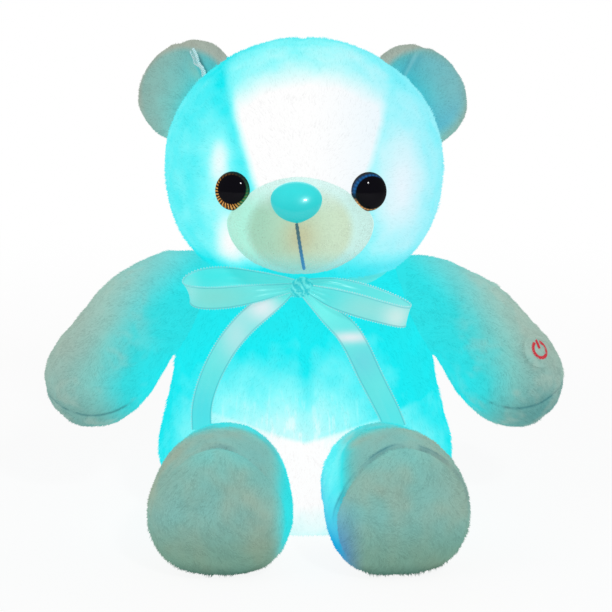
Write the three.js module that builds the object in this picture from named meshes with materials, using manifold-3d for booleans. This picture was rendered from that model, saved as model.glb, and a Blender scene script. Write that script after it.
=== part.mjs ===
// Seated light-up teddy bear, a plush night light. Millimetres, +Z up, the face looks along -Y.
// The origin is the middle of the flat seat, on the surface that the bear sits on.
import * as THREE from "three";
import Module from "manifold-3d";
import { mergeVertices } from "three/addons/utils/BufferGeometryUtils.js";

// Overall body
const torsoHeight = 157.7;
const torsoHalfWidth = 89;
const torsoHalfDepth = 67;
const bellyForward = 3;
const headHalfWidth = 86;
const headHalfDepth = 75;
const headAboveTorso = 66.3;
const headCentreZ = torsoHeight + headAboveTorso;
const headRise = 74;
const neckMouthRadius = 30;
const headTurnAtRest = THREE.MathUtils.degToRad(-2);

// Fabric and running clearances
const wall = 2.4;
const gap = 0.3;
const seamGap = 0.4;
const overrun = 6;

// Shoulders and arms
const shoulderX = 74.5;
const shoulderDrop = 19.7;
const shoulderZ = torsoHeight - shoulderDrop;
const shoulderTilt = THREE.MathUtils.degToRad(6);
const armRootRadius = 32;
const armholeRadius = 38;
const armSpan = 79;
const armDrop = 70;
const armThickness = 34;

// Hips, legs and soles
const hipX = 46;
const hipY = -72;
const hipZ = 41.5;
const hipRadius = 37;
const footRadius = 42;
const legReach = 59.5;
const legSplay = THREE.MathUtils.degToRad(4);
const solePlane = 50;

// Ears, muzzle, nose, eyes and mouth
const earX = 72;
const earY = 4;
const earRise = 41;
const earZ = headCentreZ + earRise;
const earRadius = 29.5;
const earThickness = 15;
const muzzleY = -58;
const muzzleDrop = 27;
const muzzleZ = headCentreZ - muzzleDrop;
const muzzleHalfWidth = 42;
const muzzleReach = 40;
const muzzleHalfHeight = 27.5;
const noseHalfWidth = 14.5;
const noseHalfHeight = 11.5;
const noseHalfDepth = 7;
const noseAboveMuzzle = 16;
const noseZ = muzzleZ + noseAboveMuzzle;
const eyeX = 38.6;
const eyeDrop = 8;
const eyeZ = headCentreZ - eyeDrop;
const eyeRadius = 10.3;
const eyeDome = 6.5;
const stemRadius = 2.5;
const stemLength = 13;
const washerRadius = 8;
const washerThickness = 1.2;
const threadRadius = 0.8;
const stitchRise = 5;
const stitchDrop = 22.5;

// Ribbon bow
const ribbonWidth = 12;
const ribbonThickness = 0.6;
const collarHalfWidth = 66.5;
const collarHalfDepth = 50.5;
const collarHeight = 10;
const collarRise = 0.8;
const collarZ = torsoHeight + collarRise;
const collarDip = 6;
const knotDrop = 2.7;
const knotZ = torsoHeight - knotDrop;
const knotDepth = 8;
const knotWidth = 10;
const loopReach = 66;
const loopOpen = 9;

// Paw switch
const patchRadius = 11;
const pressTravel = 2;
const switchRadius = 10;
const switchDepth = 10;
const switchWall = 1.4;
const capRadius = 6;
const capRise = 2.4;
const flangeThickness = 1.8;
const springRadius = 4;
const springWire = 0.9;
const markRadius = 5.2;
const markWidth = 1.2;
const markBreakWidth = 2.88;
const markBarLength = 6.24;
const markHeight = 0.7;

// Lamps
const lampRadius = 15;
const lampLength = 22;
const lampWall = 1.5;
const boardThickness = 1.6;
const ledRadius = 4;
const ledHeight = 6;
const bodyLampY = -20;
const bodyLampZ = 50;
const headLampY = -26;
const headLampRise = 22;
const headLampZ = headCentreZ + headLampRise;
const channelRadius = 7;
const grooveRadius = 4;
const leadRadius = 0.9;
const boardInset = 2;

// Battery pack in the back pocket
const caseWidth = 55;
const caseHeight = 74;
const caseWall = 1.8;
const caseBottomZ = 27;
const caseFrontY = 24.5;
const caseTopWall = 5;
const lipThickness = 1.2;
const cellSideRoom = 2.2;
const cellBackRoom = 1.4;
const contactThickness = 0.8;
const doorThickness = 1.8;
const doorTravel = 10;
const lipReach = 1.6;
const screwRadius = 1.3;
const screwHeadRadius = 2.6;
const screwHeadHeight = 1.2;
const controlWidth = 30;
const controlHeight = 9;
const controlRoom = 1.8;
const leadSlotWidth = 14;
const leadSlotHeight = 4;
const leadSpread = 4;
const pouchWall = 1;
const pocketRise = 13;

// Zip in the back
const zipRadius = 214;
const zipCentreZ = 50;
const zipBackY = 65.2;
const zipSlotHalfWidth = 10;
const zipBottomZ = 24;
const zipTopZ = 112;
const tapeThickness = 1.6;
const coilWidth = 2;
const coilHeight = 1.1;
const sliderWidth = 7;
const sliderLength = 10;
const sliderThickness = 2.8;
const sliderZ = 101;
const bridgeWidth = 2;
const bridgeLength = 7;
const bridgeHeight = 3.4;
const eyeletSize = 2.2;
const pullWidth = 7.6;
const pullLength = 22;
const pullWire = 1;

// Colours of the pieces as the photograph shows them
const colours = {
  plush: 0x6fe6ee,
  paleplush: 0x8fc4cc,
  stuffing: 0xf3f6f6,
  cream: 0xf0efdc,
  noseBlue: 0x35c8cf,
  pupil: 0x0c0a0a,
  thread: 0x1c6fb4,
  satin: 0xa8ece8,
  red: 0xc8202c,
  clear: 0xe4f6fa,
  board: 0x2c7a4a,
  white: 0xf2f2ee,
  cell: 0x3a3f46,
  metal: 0xb8bcc0,
  wire: 0xd8d8d4,
  cloth: 0xdfeff2,
};

const metalLook = { metalness: 0.8, roughness: 0.3 };
const satinLook = { roughness: 0.35 };

const wasm = await Module();
wasm.setup();
const bear = new THREE.Group();
const head = new THREE.Group();
head.rotation.z = headTurnAtRest;
bear.add(head);

function solid(geometry) {
  const bare = geometry.index ? geometry.toNonIndexed() : geometry.clone();
  bare.deleteAttribute("normal");
  bare.deleteAttribute("uv");
  const merged = mergeVertices(bare);
  return new wasm.Manifold(new wasm.Mesh({
    numProp: 3,
    vertProperties: new Float32Array(merged.attributes.position.array),
    triVerts: new Uint32Array(merged.index.array),
  }));
}

function geometryOf(manifold) {
  const mesh = manifold.getMesh();
  const geometry = new THREE.BufferGeometry();
  geometry.setAttribute("position", new THREE.BufferAttribute(mesh.vertProperties, mesh.numProp));
  geometry.setIndex(new THREE.BufferAttribute(mesh.triVerts, 1));
  return geometry;
}

function piece(name, shape, colour, parent = bear, look = {}) {
  const geometry = shape.getMesh ? geometryOf(shape) : shape;
  const plain = { color: colours[colour], roughness: 0.9, metalness: 0 };
  const material = new THREE.MeshStandardMaterial({ ...plain, ...look });
  const mesh = new THREE.Mesh(geometry, material);
  mesh.name = name;
  parent.add(mesh);
  return mesh;
}

// Plain solids, made at the origin and carried by a matrix
const shift = (x, y, z) => new THREE.Matrix4().makeTranslation(x, y, z);

function aimed(place, direction) {
  const turn = new THREE.Quaternion().setFromUnitVectors(new THREE.Vector3(0, 0, 1), direction.clone().normalize());
  return new THREE.Matrix4().compose(place, turn, new THREE.Vector3(1, 1, 1));
}

function block(width, depth, height, x = 0, y = 0, z = 0) {
  return solid(new THREE.BoxGeometry(width, depth, height).translate(x, y, z));
}

// A round rod along +Z from the origin, carried by the matrix
function rod(radius, length, matrix = shift(0, 0, 0), sides = 16) {
  const upright = new THREE.CylinderGeometry(radius, radius, length, sides);
  upright.rotateX(Math.PI / 2).translate(0, 0, length / 2);
  return solid(upright.applyMatrix4(matrix));
}

function ball(rx, ry, rz, x, y, z, sides = 24, rows = 14) {
  const unit = new THREE.SphereGeometry(1, sides, rows).rotateX(Math.PI / 2);
  return solid(unit.scale(rx, ry, rz).translate(x, y, z));
}

// A closed skin through rings of equal point counts; each end is closed by a fan to its middle
function loft(rings) {
  const count = rings[0].length;
  const positions = [];
  for (const ring of rings) {
    for (const point of ring) positions.push(point.x, point.y, point.z);
  }
  const index = [];
  for (let level = 0; level < rings.length - 1; level++) {
    for (let side = 0; side < count; side++) {
      const next = (side + 1) % count;
      const a = level * count + side;
      const b = level * count + next;
      index.push(a, b, b + count, a, b + count, a + count);
    }
  }
  for (const level of [0, rings.length - 1]) {
    const middle = new THREE.Vector3();
    for (const point of rings[level]) middle.addScaledVector(point, 1 / count);
    const tip = positions.length / 3;
    positions.push(middle.x, middle.y, middle.z);
    for (let side = 0; side < count; side++) {
      const a = level * count + side;
      const b = level * count + (side + 1) % count;
      if (level === 0) index.push(tip, b, a);
      else index.push(tip, a, b);
    }
  }
  const geometry = new THREE.BufferGeometry();
  geometry.setAttribute("position", new THREE.Float32BufferAttribute(positions, 3));
  geometry.setIndex(index);
  return solid(geometry);
}

// Moves a profile inwards along its own normals; each row has a place s and a radius r
function insetProfile(rows, inset) {
  return rows.map((row, i) => {
    const before = rows[Math.max(i - 1, 0)];
    const after = rows[Math.min(i + 1, rows.length - 1)];
    const run = after.s - before.s;
    const rise = after.r - before.r;
    const size = Math.hypot(run, rise);
    return { ...row, s: row.s + inset * rise / size, r: row.r - inset * run / size };
  });
}

// Upright forms: torso and head
function uprightForm(rows, inset, sides, topRun = null) {
  const moved = insetProfile(rows, inset);
  if (topRun !== null) {
    const last = moved[moved.length - 1];
    moved.push({ ...last, s: rows[rows.length - 1].s + topRun });
  }
  return loft(moved.map((row) => ellipseRing(row, row.r - row.full, sides)));
}

function ellipseRing(row, change, sides) {
  return Array.from({ length: sides }, (_, i) => {
    const turn = (i / sides) * 2 * Math.PI;
    const x = (row.full + change) * Math.cos(turn);
    const y = row.forward + (row.depth + change) * Math.sin(turn);
    return new THREE.Vector3(x, y, row.s);
  });
}

// Torso rows: share of the height, of the half width and of the half depth
const torsoShares = [
  [0, 0.69, 0.68], [0.02, 0.78, 0.78], [0.065, 0.87, 0.87], [0.14, 0.945, 0.945], [0.25, 0.99, 0.99],
  [0.35, 1, 1], [0.475, 0.97, 0.978], [0.6, 0.925, 0.93], [0.73, 0.895, 0.86], [0.84, 0.885, 0.79],
  [0.915, 0.85, 0.73], [0.965, 0.745, 0.66], [1, 0.575, 0.6],
];
const torsoRows = torsoShares.map(([height, width, depth]) => ({
  s: height * torsoHeight,
  r: width * torsoHalfWidth,
  full: width * torsoHalfWidth,
  depth: depth * torsoHalfDepth,
  forward: -bellyForward * Math.sin(height * Math.PI),
}));

// Head rows: full cheeks below the widest level, a round crown above it
const cheekPower = 2.4;
const headBottomZ = torsoHeight + seamGap;
const headRows = [];
const lowerLevels = 5;
const upperLevels = 6;
const neckShare = 0.845;
for (let i = 0; i <= lowerLevels; i++) {
  const down = 1 - i / lowerLevels;
  const level = headCentreZ - down * (headCentreZ - headBottomZ);
  headRows.push(headRow(level, (1 - (down * neckShare) ** cheekPower) ** (1 / cheekPower)));
}
for (let i = 1; i < upperLevels; i++) {
  const turn = (i / upperLevels) * Math.PI / 2;
  headRows.push(headRow(headCentreZ + headRise * Math.sin(turn), Math.cos(turn)));
}

function headRow(s, share) {
  const width = share * headHalfWidth;
  return { s, r: width, full: width, depth: share * headHalfDepth, forward: 0 };
}

const crownShare = 0.6;
function headForm(inset, sides) {
  const moved = insetProfile(headRows, inset);
  const rings = moved.map((row) => ellipseRing(row, row.r - row.full, sides));
  const crown = rings[rings.length - 1];
  const middle = new THREE.Vector3(0, 0, headCentreZ + headRise - inset);
  rings.push(crown.map((point) => point.clone().lerp(middle, crownShare).setZ(middle.z)));
  return rings;
}

// Sideways forms: rings round a line, each with its own heading
function limbForm(stations, inset, depthShare, sides, backRun = 0) {
  const moved = insetProfile(stations, inset);
  if (backRun > 0) {
    const root = stations[0];
    moved[0] = { ...moved[0], s: root.s };
    moved.unshift({ ...moved[0], s: root.s - backRun });
  }
  return loft(moved.map((row) => {
    const centre = row.centre.clone().addScaledVector(row.heading, row.s - row.home);
    const side = new THREE.Vector3().crossVectors(row.heading, row.up);
    return Array.from({ length: sides }, (_, i) => {
      const turn = (i / sides) * 2 * Math.PI;
      return centre.clone()
        .addScaledVector(row.up, row.r * Math.cos(turn))
        .addScaledVector(side, row.r * depthShare * Math.sin(turn));
    });
  }));
}

// Arm stations: share of the span, share of the drop, heading in degrees, share of the thickness
const armShares = [
  [0.12, 0.03, -6, 0.97], [0.33, 0.15, -28, 0.9], [0.47, 0.35, -46, 0.94], [0.589, 0.543, -50, 1],
  [0.715, 0.7, -48, 0.98], [0.829, 0.82, -45, 0.85], [0.924, 0.92, -44, 0.6], [0.98, 0.975, -44, 0.3],
  [1, 1, -44, 0.08],
];
const shoulder = new THREE.Vector3(shoulderX, 0, shoulderZ);
const shoulderAxis = new THREE.Vector3(Math.cos(shoulderTilt), 0, Math.sin(shoulderTilt));

function armStation(x, z, heading, r) {
  return {
    r,
    centre: new THREE.Vector3(x, 0, z),
    heading: new THREE.Vector3(Math.cos(heading), 0, Math.sin(heading)),
    up: new THREE.Vector3(-Math.sin(heading), 0, Math.cos(heading)),
  };
}

const armRoot = shoulder.clone().addScaledVector(shoulderAxis, seamGap / 2);
const armStations = [armStation(armRoot.x, armRoot.z, shoulderTilt, armRootRadius)];
for (const [span, drop, degrees, share] of armShares) {
  const x = shoulderX + span * armSpan;
  const z = shoulderZ - drop * armDrop;
  armStations.push(armStation(x, z, THREE.MathUtils.degToRad(degrees), share * armThickness));
}
armStations.forEach((station, i) => {
  const before = armStations[i - 1];
  station.s = before ? before.s + before.centre.distanceTo(station.centre) : 0;
  station.home = station.s;
});

// Leg stations: a ball at the hip, then shares of the reach and of the foot radius
const legShares = [
  [0.134, 0.912], [0.336, 0.96], [0.571, 1], [0.74, 0.99], [0.84, 0.943],
  [0.916, 0.833], [0.966, 0.667], [0.992, 0.43], [1, 0.14],
];
const hip = new THREE.Vector3(hipX, hipY, hipZ);
const legHeading = new THREE.Vector3(Math.sin(legSplay), -Math.cos(legSplay), 0);
const legStations = [];
const hipRings = 4;
const hipStartShare = 0.4;
for (let i = 0; i < hipRings; i++) {
  const turn = ((i + hipStartShare) / hipRings) * Math.PI / 2;
  legStations.push({ s: -hipRadius * Math.cos(turn), r: hipRadius * Math.sin(turn) });
}
for (const [reach, radius] of legShares) legStations.push({ s: reach * legReach, r: radius * footRadius });
for (const station of legStations) {
  station.home = 0;
  station.centre = hip;
  station.heading = legHeading;
  station.up = new THREE.Vector3(0, 0, 1);
}

function mirrored(shape) {
  const geometry = geometryOf(shape);
  geometry.scale(-1, 1, 1);
  const index = Array.from(geometry.index.array);
  for (let i = 0; i < index.length; i += 3) [index[i], index[i + 1]] = [index[i + 1], index[i]];
  geometry.setIndex(index);
  return solid(geometry);
}

function tube(points, radius, sides = 8, steps = 24) {
  const section = new THREE.Shape(Array.from({ length: sides }, (_, i) => {
    const turn = (i / sides) * 2 * Math.PI;
    return new THREE.Vector2(radius * Math.cos(turn), radius * Math.sin(turn));
  }));
  const path = new THREE.CatmullRomCurve3(points);
  return solid(new THREE.ExtrudeGeometry(section, { steps, extrudePath: path, bevelEnabled: false }));
}

// Where things go
const legSpan = 8 * hipRadius;
const bodySides = 28;
const limbSides = 18;
const coarseSides = 14;
const stuffingInset = wall + gap;

// The case's rooms, from its outside: three cells side by side, with the control board above them
const bayWidth = caseWidth - 2 * (lipThickness + lipReach + caseWall / 2);
const cellRadius = (bayWidth - 2 * cellSideRoom - 2 * gap) / 6;
const contactSpan = bayWidth - 2 * caseWall;
const channelDepth = doorThickness + 2 * gap;
const bayDepth = gap + 2 * cellRadius + cellBackRoom;
const caseDepth = caseWall + bayDepth - gap + channelDepth + lipThickness;
const controlBay = controlHeight + 2 * controlRoom;
const bayHeight = caseHeight - caseTopWall - controlBay - 2 * caseWall;
const cellLength = bayHeight - 2 * (contactThickness + gap) - 2 * gap;

const pocketWidth = caseWidth + 2 * (pouchWall + gap) + 2 * gap;
const pocketBottomZ = caseBottomZ - pouchWall - 2 * gap;
const pocketTopZ = caseBottomZ + caseHeight + pocketRise;
const pocketFrontY = caseFrontY - pouchWall - 2 * gap;
const caseBackY = caseFrontY + caseDepth;
const pouchBackY = caseBackY + 3 * gap + screwHeadHeight;
const zipAxis = new THREE.Vector3(0, zipBackY - zipRadius, zipCentreZ);
const bayBottomZ = caseBottomZ + caseWall;
const controlBottomZ = bayBottomZ + bayHeight + caseWall;
const controlTopZ = caseBottomZ + caseHeight - caseTopWall;
const leadZ = (controlBottomZ + controlTopZ) / 2;

// The cavity for the works: pocket at the back, tunnel, lamp well and the way up the neck
function worksCavity() {
  const depth = torsoHalfDepth + overrun;
  const pocket = block(pocketWidth, depth - pocketFrontY, pocketTopZ - pocketBottomZ,
    0, (depth + pocketFrontY) / 2, (pocketTopZ + pocketBottomZ) / 2);
  const toFront = aimed(new THREE.Vector3(0, pocketFrontY + overrun, bodyLampZ), new THREE.Vector3(0, -1, 0));
  const wellLength = pocketFrontY + overrun - bodyLampY + lampLength / 2 + gap;
  const well = rod(lampRadius + gap, wellLength, toFront, 24);
  const neck = rod(channelRadius, torsoHeight - bodyLampZ + overrun, shift(0, 0, bodyLampZ));
  const toNeck = new THREE.Vector3(0, pocketFrontY + overrun, leadZ);
  const tunnel = rod(channelRadius, pocketFrontY + overrun, aimed(toNeck, new THREE.Vector3(0, -1, 0)));
  return pocket.add(well).add(neck).add(tunnel);
}

// A disc-shaped pocket where the arm's round root seats and turns
function armhole() {
  const face = shoulder.clone().addScaledVector(shoulderAxis, -seamGap / 2);
  return rod(armholeRadius, armSpan, aimed(face, shoulderAxis), 24);
}

function hipSocket() {
  const facets = 20;
  const radius = (hipRadius + seamGap) / Math.cos(Math.PI / facets);
  return ball(radius, radius, radius, hipX, hipY, hipZ, facets, 12);
}

function armGroove() {
  const lead = shoulder.clone().addScaledVector(shoulderAxis, -shoulderX);
  return rod(grooveRadius, shoulderX + overrun, aimed(lead, shoulderAxis), 12);
}

// Torso
const armhole1 = armhole();
const socket1 = hipSocket();
const sideCuts = armhole1.add(mirrored(armhole1)).add(socket1).add(mirrored(socket1));
const slotHeight = zipTopZ - zipBottomZ;
const slotDepth = torsoHalfDepth;
const zipSlot = block(2 * zipSlotHalfWidth, slotDepth, slotHeight,
  0, zipBackY, (zipTopZ + zipBottomZ) / 2);

const torsoInner = uprightForm(torsoRows, wall, coarseSides, overrun);
const torsoCover = uprightForm(torsoRows, 0, bodySides).subtract(torsoInner)
  .subtract(sideCuts).subtract(zipSlot);
piece("torso_cover", torsoCover, "plush");

const torsoFill = uprightForm(torsoRows, stuffingInset, coarseSides, 0);
piece("torso_stuffing", torsoFill.subtract(sideCuts).subtract(worksCavity()).subtract(armGroove()), "stuffing");

// Arms: a sleeve open at the shoulder, filled; the left paw holds the press switch
const pressReachShare = 0.975;
const pressAngle = THREE.MathUtils.degToRad(39.5);
const pressHeading = THREE.MathUtils.degToRad(-49);
const pressAlongShare = 0.45;
const [pressInner, pressOuter] = armStations.slice(-6, -4);
const pressRing = pressInner.centre.clone().lerp(pressOuter.centre, pressAlongShare);
const pressAxis = new THREE.Vector3(-Math.sin(pressHeading) * Math.cos(pressAngle), -Math.sin(pressAngle),
  Math.cos(pressHeading) * Math.cos(pressAngle));
const pressPlace = pressRing.clone().addScaledVector(pressAxis, pressReachShare * armThickness);
const pressMatrix = (lift) => aimed(pressPlace.clone().addScaledVector(pressAxis, lift), pressAxis);
const armDepthShare = 0.96;
const armOuter = limbForm(armStations, 0, armDepthShare, limbSides);
const armSleeve = armOuter.subtract(limbForm(armStations, wall, armDepthShare, coarseSides, overrun));
const armFillForm = limbForm(armStations, stuffingInset, armDepthShare, coarseSides, overrun);
const pastShoulder = rod(2 * armholeRadius, armSpan + armDrop, aimed(armRoot, shoulderAxis));
const armFill = armFillForm.intersect(pastShoulder);

const switchTop = -wall - gap;
const switchFloor = switchTop - capRise - switchDepth;
const patchRoom = rod(patchRadius + 2 * gap, 3 * overrun, pressMatrix(-wall - pressTravel - gap), 24);
const switchPocket = rod(switchRadius + gap, switchDepth + 3 * overrun, pressMatrix(switchFloor - gap), 18)
  .add(patchRoom);
const leadEnd = pressPlace.clone().addScaledVector(pressAxis, switchFloor - gap);
const leadStart = armRoot.clone();
const leadPoints = [
  leadStart,
  leadStart.clone().addScaledVector(shoulderAxis, armSpan / 4),
  leadEnd.clone().addScaledVector(pressAxis, -overrun),
  leadEnd,
];
const leadGroove = tube([leadStart.clone().addScaledVector(shoulderAxis, -overrun), ...leadPoints.slice(1)],
  grooveRadius, 8, 12);

piece("right_arm_cover", mirrored(armSleeve), "plush");
piece("right_arm_stuffing", mirrored(armFill), "stuffing");
const patchHole = rod(patchRadius + gap, wall + 2 * overrun, pressMatrix(-wall - overrun), 24);
piece("left_arm_cover", armSleeve.subtract(patchHole), "plush");
piece("left_arm_stuffing", armFill.subtract(switchPocket).subtract(leadGroove), "stuffing");

// Paw switch under its round fabric patch, with the stitched mark on the patch
const patchBlank = armOuter.intersect(rod(patchRadius, 2 * overrun, pressMatrix(-overrun), 24));
piece("press_patch", patchBlank.intersect(rod(patchRadius + gap, 2 * overrun, pressMatrix(-wall), 24)), "plush");

const markLow = gap;
const markRing = rod(markRadius, markHeight, pressMatrix(markLow), 16)
  .subtract(rod(markRadius - markWidth, 3 * markHeight, pressMatrix(markLow - markHeight), 16));
const barUp = new THREE.Matrix4().makeRotationZ(Math.PI / 2);
const markBreak = solid(new THREE.BoxGeometry(markBreakWidth, markRadius, 3 * markHeight)
  .translate(0, markRadius, markHeight).applyMatrix4(pressMatrix(markLow).multiply(barUp)));
const markBar = solid(new THREE.BoxGeometry(markWidth, markBarLength, markHeight)
  .translate(0, markBarLength / 2, markHeight / 2).applyMatrix4(pressMatrix(markLow).multiply(barUp)));
const markBacking = rod(markRadius - markWidth / 2, markHeight / 3, pressMatrix(markLow), 16);
piece("power_mark", markRing.subtract(markBreak).add(markBar).add(markBacking), "red");

const flangeFloor = switchTop - capRise - gap - flangeThickness;
const switchCup = rod(switchRadius, switchDepth, pressMatrix(switchFloor), 18)
  .subtract(rod(switchRadius - switchWall, switchDepth, pressMatrix(switchFloor + switchWall), 18));
piece("switch_housing", switchCup, "white");
const flange = rod(switchRadius - switchWall - gap, flangeThickness, pressMatrix(flangeFloor), 18);
const cap = rod(capRadius, switchTop - flangeFloor, pressMatrix(flangeFloor), 18);
piece("switch_button", flange.add(cap), "white");
const springFloor = switchFloor + switchWall + gap;
const springHeight = flangeFloor - pressTravel - gap - springFloor;
piece("switch_spring", rod(springRadius, springHeight, pressMatrix(springFloor))
  .subtract(rod(springRadius - springWire, 2 * springHeight, pressMatrix(springFloor - gap))), "metal",
bear, metalLook);
piece("switch_lead_arm", tube([leadStart.clone().addScaledVector(shoulderAxis, gap), ...leadPoints.slice(1, 3),
  leadEnd.clone().addScaledVector(pressAxis, gap / 4)], leadRadius, 5, 10), "wire");

// Legs: a sleeve round the filling, closed by the sole in front
const belowSeat = (rise) => block(legSpan, legSpan, overrun + rise, 0, 0, (rise - overrun) / 2);
const legOuter = limbForm(legStations, 0, 1, limbSides).subtract(belowSeat(0));
const legInner = limbForm(legStations, wall, 1, coarseSides).subtract(belowSeat(wall));
const legFill = limbForm(legStations, stuffingInset, 1, coarseSides).subtract(belowSeat(stuffingInset));
const soleFace = hip.clone().addScaledVector(legHeading, solePlane);
const frontOfLeg = rod(2 * footRadius, legReach, aimed(soleFace, legHeading));
const soleGapFace = hip.clone().addScaledVector(legHeading, solePlane + gap);
const frontOfSole = rod(2 * footRadius, legReach, aimed(soleGapFace, legHeading));
const legShell = legOuter.subtract(legInner);
const legPieces = {
  leg_cover: [legShell.subtract(frontOfLeg), "plush"],
  leg_stuffing: [legFill, "stuffing"],
  sole: [legShell.intersect(frontOfSole), "paleplush"],
};
for (const [name, [shape, colour]] of Object.entries(legPieces)) {
  piece(`left_${name}`, shape, colour);
  piece(`right_${name}`, mirrored(shape), colour);
}

// Head: cover, filling, and the lamp well with its way down the neck
const headOuter = loft(headForm(0, bodySides));
const headGrown = loft(headForm(-gap, bodySides));
const belowNeck = block(4 * headHalfWidth, 4 * headHalfWidth, headRise, 0, 0, headBottomZ - headRise / 2);
const neckMouth = rod(neckMouthRadius, 2 * overrun, shift(0, 0, headBottomZ - overrun), coarseSides);
const headInner = loft(headForm(wall, coarseSides)).add(neckMouth);

const eyePlaces = [-1, 1].map((side) => {
  const across = eyeX / headHalfWidth;
  const y = -headHalfDepth * Math.sqrt(1 - across * across);
  const out = new THREE.Vector3(side * across / headHalfWidth, y / headHalfDepth ** 2, 0).normalize();
  return { name: side < 0 ? "right" : "left", out, at: new THREE.Vector3(side * eyeX, y, eyeZ) };
});

const eyeHoles = eyePlaces.map(({ at, out }) => rod(stemRadius + gap, 2 * overrun,
  aimed(at.clone().addScaledVector(out, -overrun), out)));
const eyeWells = eyePlaces.map(({ at, out }) => rod(washerRadius + gap, stemLength + 2 * overrun,
  aimed(at.clone().addScaledVector(out, -stemLength - gap), out)));
const headCover = headOuter.subtract(headInner).subtract(eyeHoles[0]).subtract(eyeHoles[1])
  .subtract(belowNeck);
piece("head_cover", headCover, "plush", head);

const headLampSeat = new THREE.Vector3(0, headLampY, headLampZ);
const forward = new THREE.Vector3(0, -1, 0);
const headWell = rod(lampRadius + gap, lampLength + 2 * gap + 2 * overrun,
  aimed(new THREE.Vector3(0, headLampY + 2 * overrun, headLampZ), forward), 24);
const headChannel = rod(channelRadius, headLampZ - headBottomZ + 2 * overrun,
  shift(0, 0, headBottomZ - 2 * overrun));
const headTunnel = block(2 * channelRadius, 2 * overrun - headLampY, 2 * channelRadius, 0,
  (headLampY + 2 * overrun) / 2, headLampZ);
const headFill = loft(headForm(stuffingInset, coarseSides)).subtract(belowNeck)
  .subtract(eyeWells[0]).subtract(eyeWells[1]).subtract(headWell).subtract(headChannel).subtract(headTunnel);
piece("head_stuffing", headFill, "stuffing", head);

// Ears: shallow stuffed bowls cut by the head
const earShares = [
  [0.3, -0.5], [0.75, -0.42], [0.96, -0.16], [1, 0.14], [0.95, 0.38], [0.82, 0.45],
  [0.6, 0.2], [0.3, 0.03], [0.08, 0],
];
const earSides = 20;
const earBowl = loft(earShares.map(([radius, height]) => Array.from({ length: earSides }, (_, i) => {
  const turn = (i / earSides) * 2 * Math.PI;
  const r = radius * earRadius;
  const front = earY - height * earThickness;
  return new THREE.Vector3(earX + r * Math.cos(turn), front, earZ + r * Math.sin(turn));
})));
const ear = earBowl.subtract(headGrown);
piece("left_ear", ear, "plush", head);
piece("right_ear", mirrored(ear), "plush", head);

// Muzzle: a stuffed oval pad with a well behind it for the nose washer
const muzzleForm = (grow, sides = 24, rows = 12) => ball(muzzleHalfWidth + grow, muzzleReach + grow,
  muzzleHalfHeight + grow, 0, muzzleY, muzzleZ, sides, rows);
const noseRise = (noseZ - muzzleZ) / muzzleHalfHeight;
const noseY = muzzleY - muzzleReach * Math.sqrt(1 - noseRise * noseRise);
const stemZ = noseZ - noseHalfHeight / 3;
const noseStemStart = new THREE.Vector3(0, noseY - noseHalfDepth / 3, stemZ);
const back = new THREE.Vector3(0, 1, 0);
const noseWellY = noseStemStart.y + stemLength - 2 * washerThickness - 2 * gap;
const noseWell = rod(washerRadius + gap, muzzleReach, aimed(new THREE.Vector3(0, noseWellY, stemZ), back));
const noseHole = rod(stemRadius + gap, 2 * stemLength,
  aimed(noseStemStart.clone().addScaledVector(back, -overrun), back), 12);
const eyeClear = eyePlaces.map(({ at, out }) => solid(new THREE.SphereGeometry(1, 16, 8)
  .scale(eyeRadius + seamGap, eyeRadius + seamGap, eyeDome + seamGap).applyMatrix4(aimed(at, out))));
const muzzle = muzzleForm(0).subtract(headGrown).subtract(noseWell).subtract(noseHole)
  .subtract(eyeClear[0]).subtract(eyeClear[1]);
piece("muzzle", muzzle, "cream", head);

const noseBall = ball(noseHalfWidth, noseHalfDepth, noseHalfHeight, 0, noseY, noseZ, 18, 10);
const noseStem = rod(stemRadius, stemLength, aimed(noseStemStart, back), 12);
piece("nose", noseBall.subtract(muzzleForm(gap)).add(noseStem), "noseBlue", head, { roughness: 0.2 });
const washer = (place, direction) => rod(washerRadius, washerThickness, aimed(place, direction))
  .subtract(rod(stemRadius + gap / 2, 3 * washerThickness,
    aimed(place.clone().addScaledVector(direction, -washerThickness), direction), 12));
piece("nose_washer", washer(new THREE.Vector3(0, noseWellY + gap, stemZ), back), "white", head);

// Eyes: domes with stems through the cover, each locked by a washer inside
for (const { name, out, at } of eyePlaces) {
  const lens = new THREE.SphereGeometry(1, 16, 8).scale(eyeRadius, eyeRadius, eyeDome).applyMatrix4(aimed(at, out));
  const stem = rod(stemRadius, stemLength, aimed(at.clone().addScaledVector(out, gap - stemLength), out), 12);
  piece(`${name}_eye`, solid(lens).subtract(headGrown).add(stem), "pupil", head, { roughness: 0.1 });
  const facetSag = headHalfWidth * (1 - Math.cos(Math.PI / coarseSides));
  const seat = at.clone().addScaledVector(out, -wall - facetSag - 3 * gap - washerThickness);
  piece(`${name}_eye_washer`, washer(seat, out), "white", head);
}

// Mouth: one straight thread down the middle of the muzzle
const stitchSteps = 8;
const stitchPoints = Array.from({ length: stitchSteps + 1 }, (_, i) => {
  const z = muzzleZ + stitchRise - (stitchRise + stitchDrop) * (i / stitchSteps);
  const lift = threadRadius + gap;
  const rise = (z - muzzleZ) / (muzzleHalfHeight + lift);
  return new THREE.Vector3(0, muzzleY - (muzzleReach + lift) * Math.sqrt(1 - rise * rise), z);
});
piece("mouth_stitch", tube(stitchPoints, threadRadius, 6, stitchSteps * 2), "thread", head);

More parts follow.
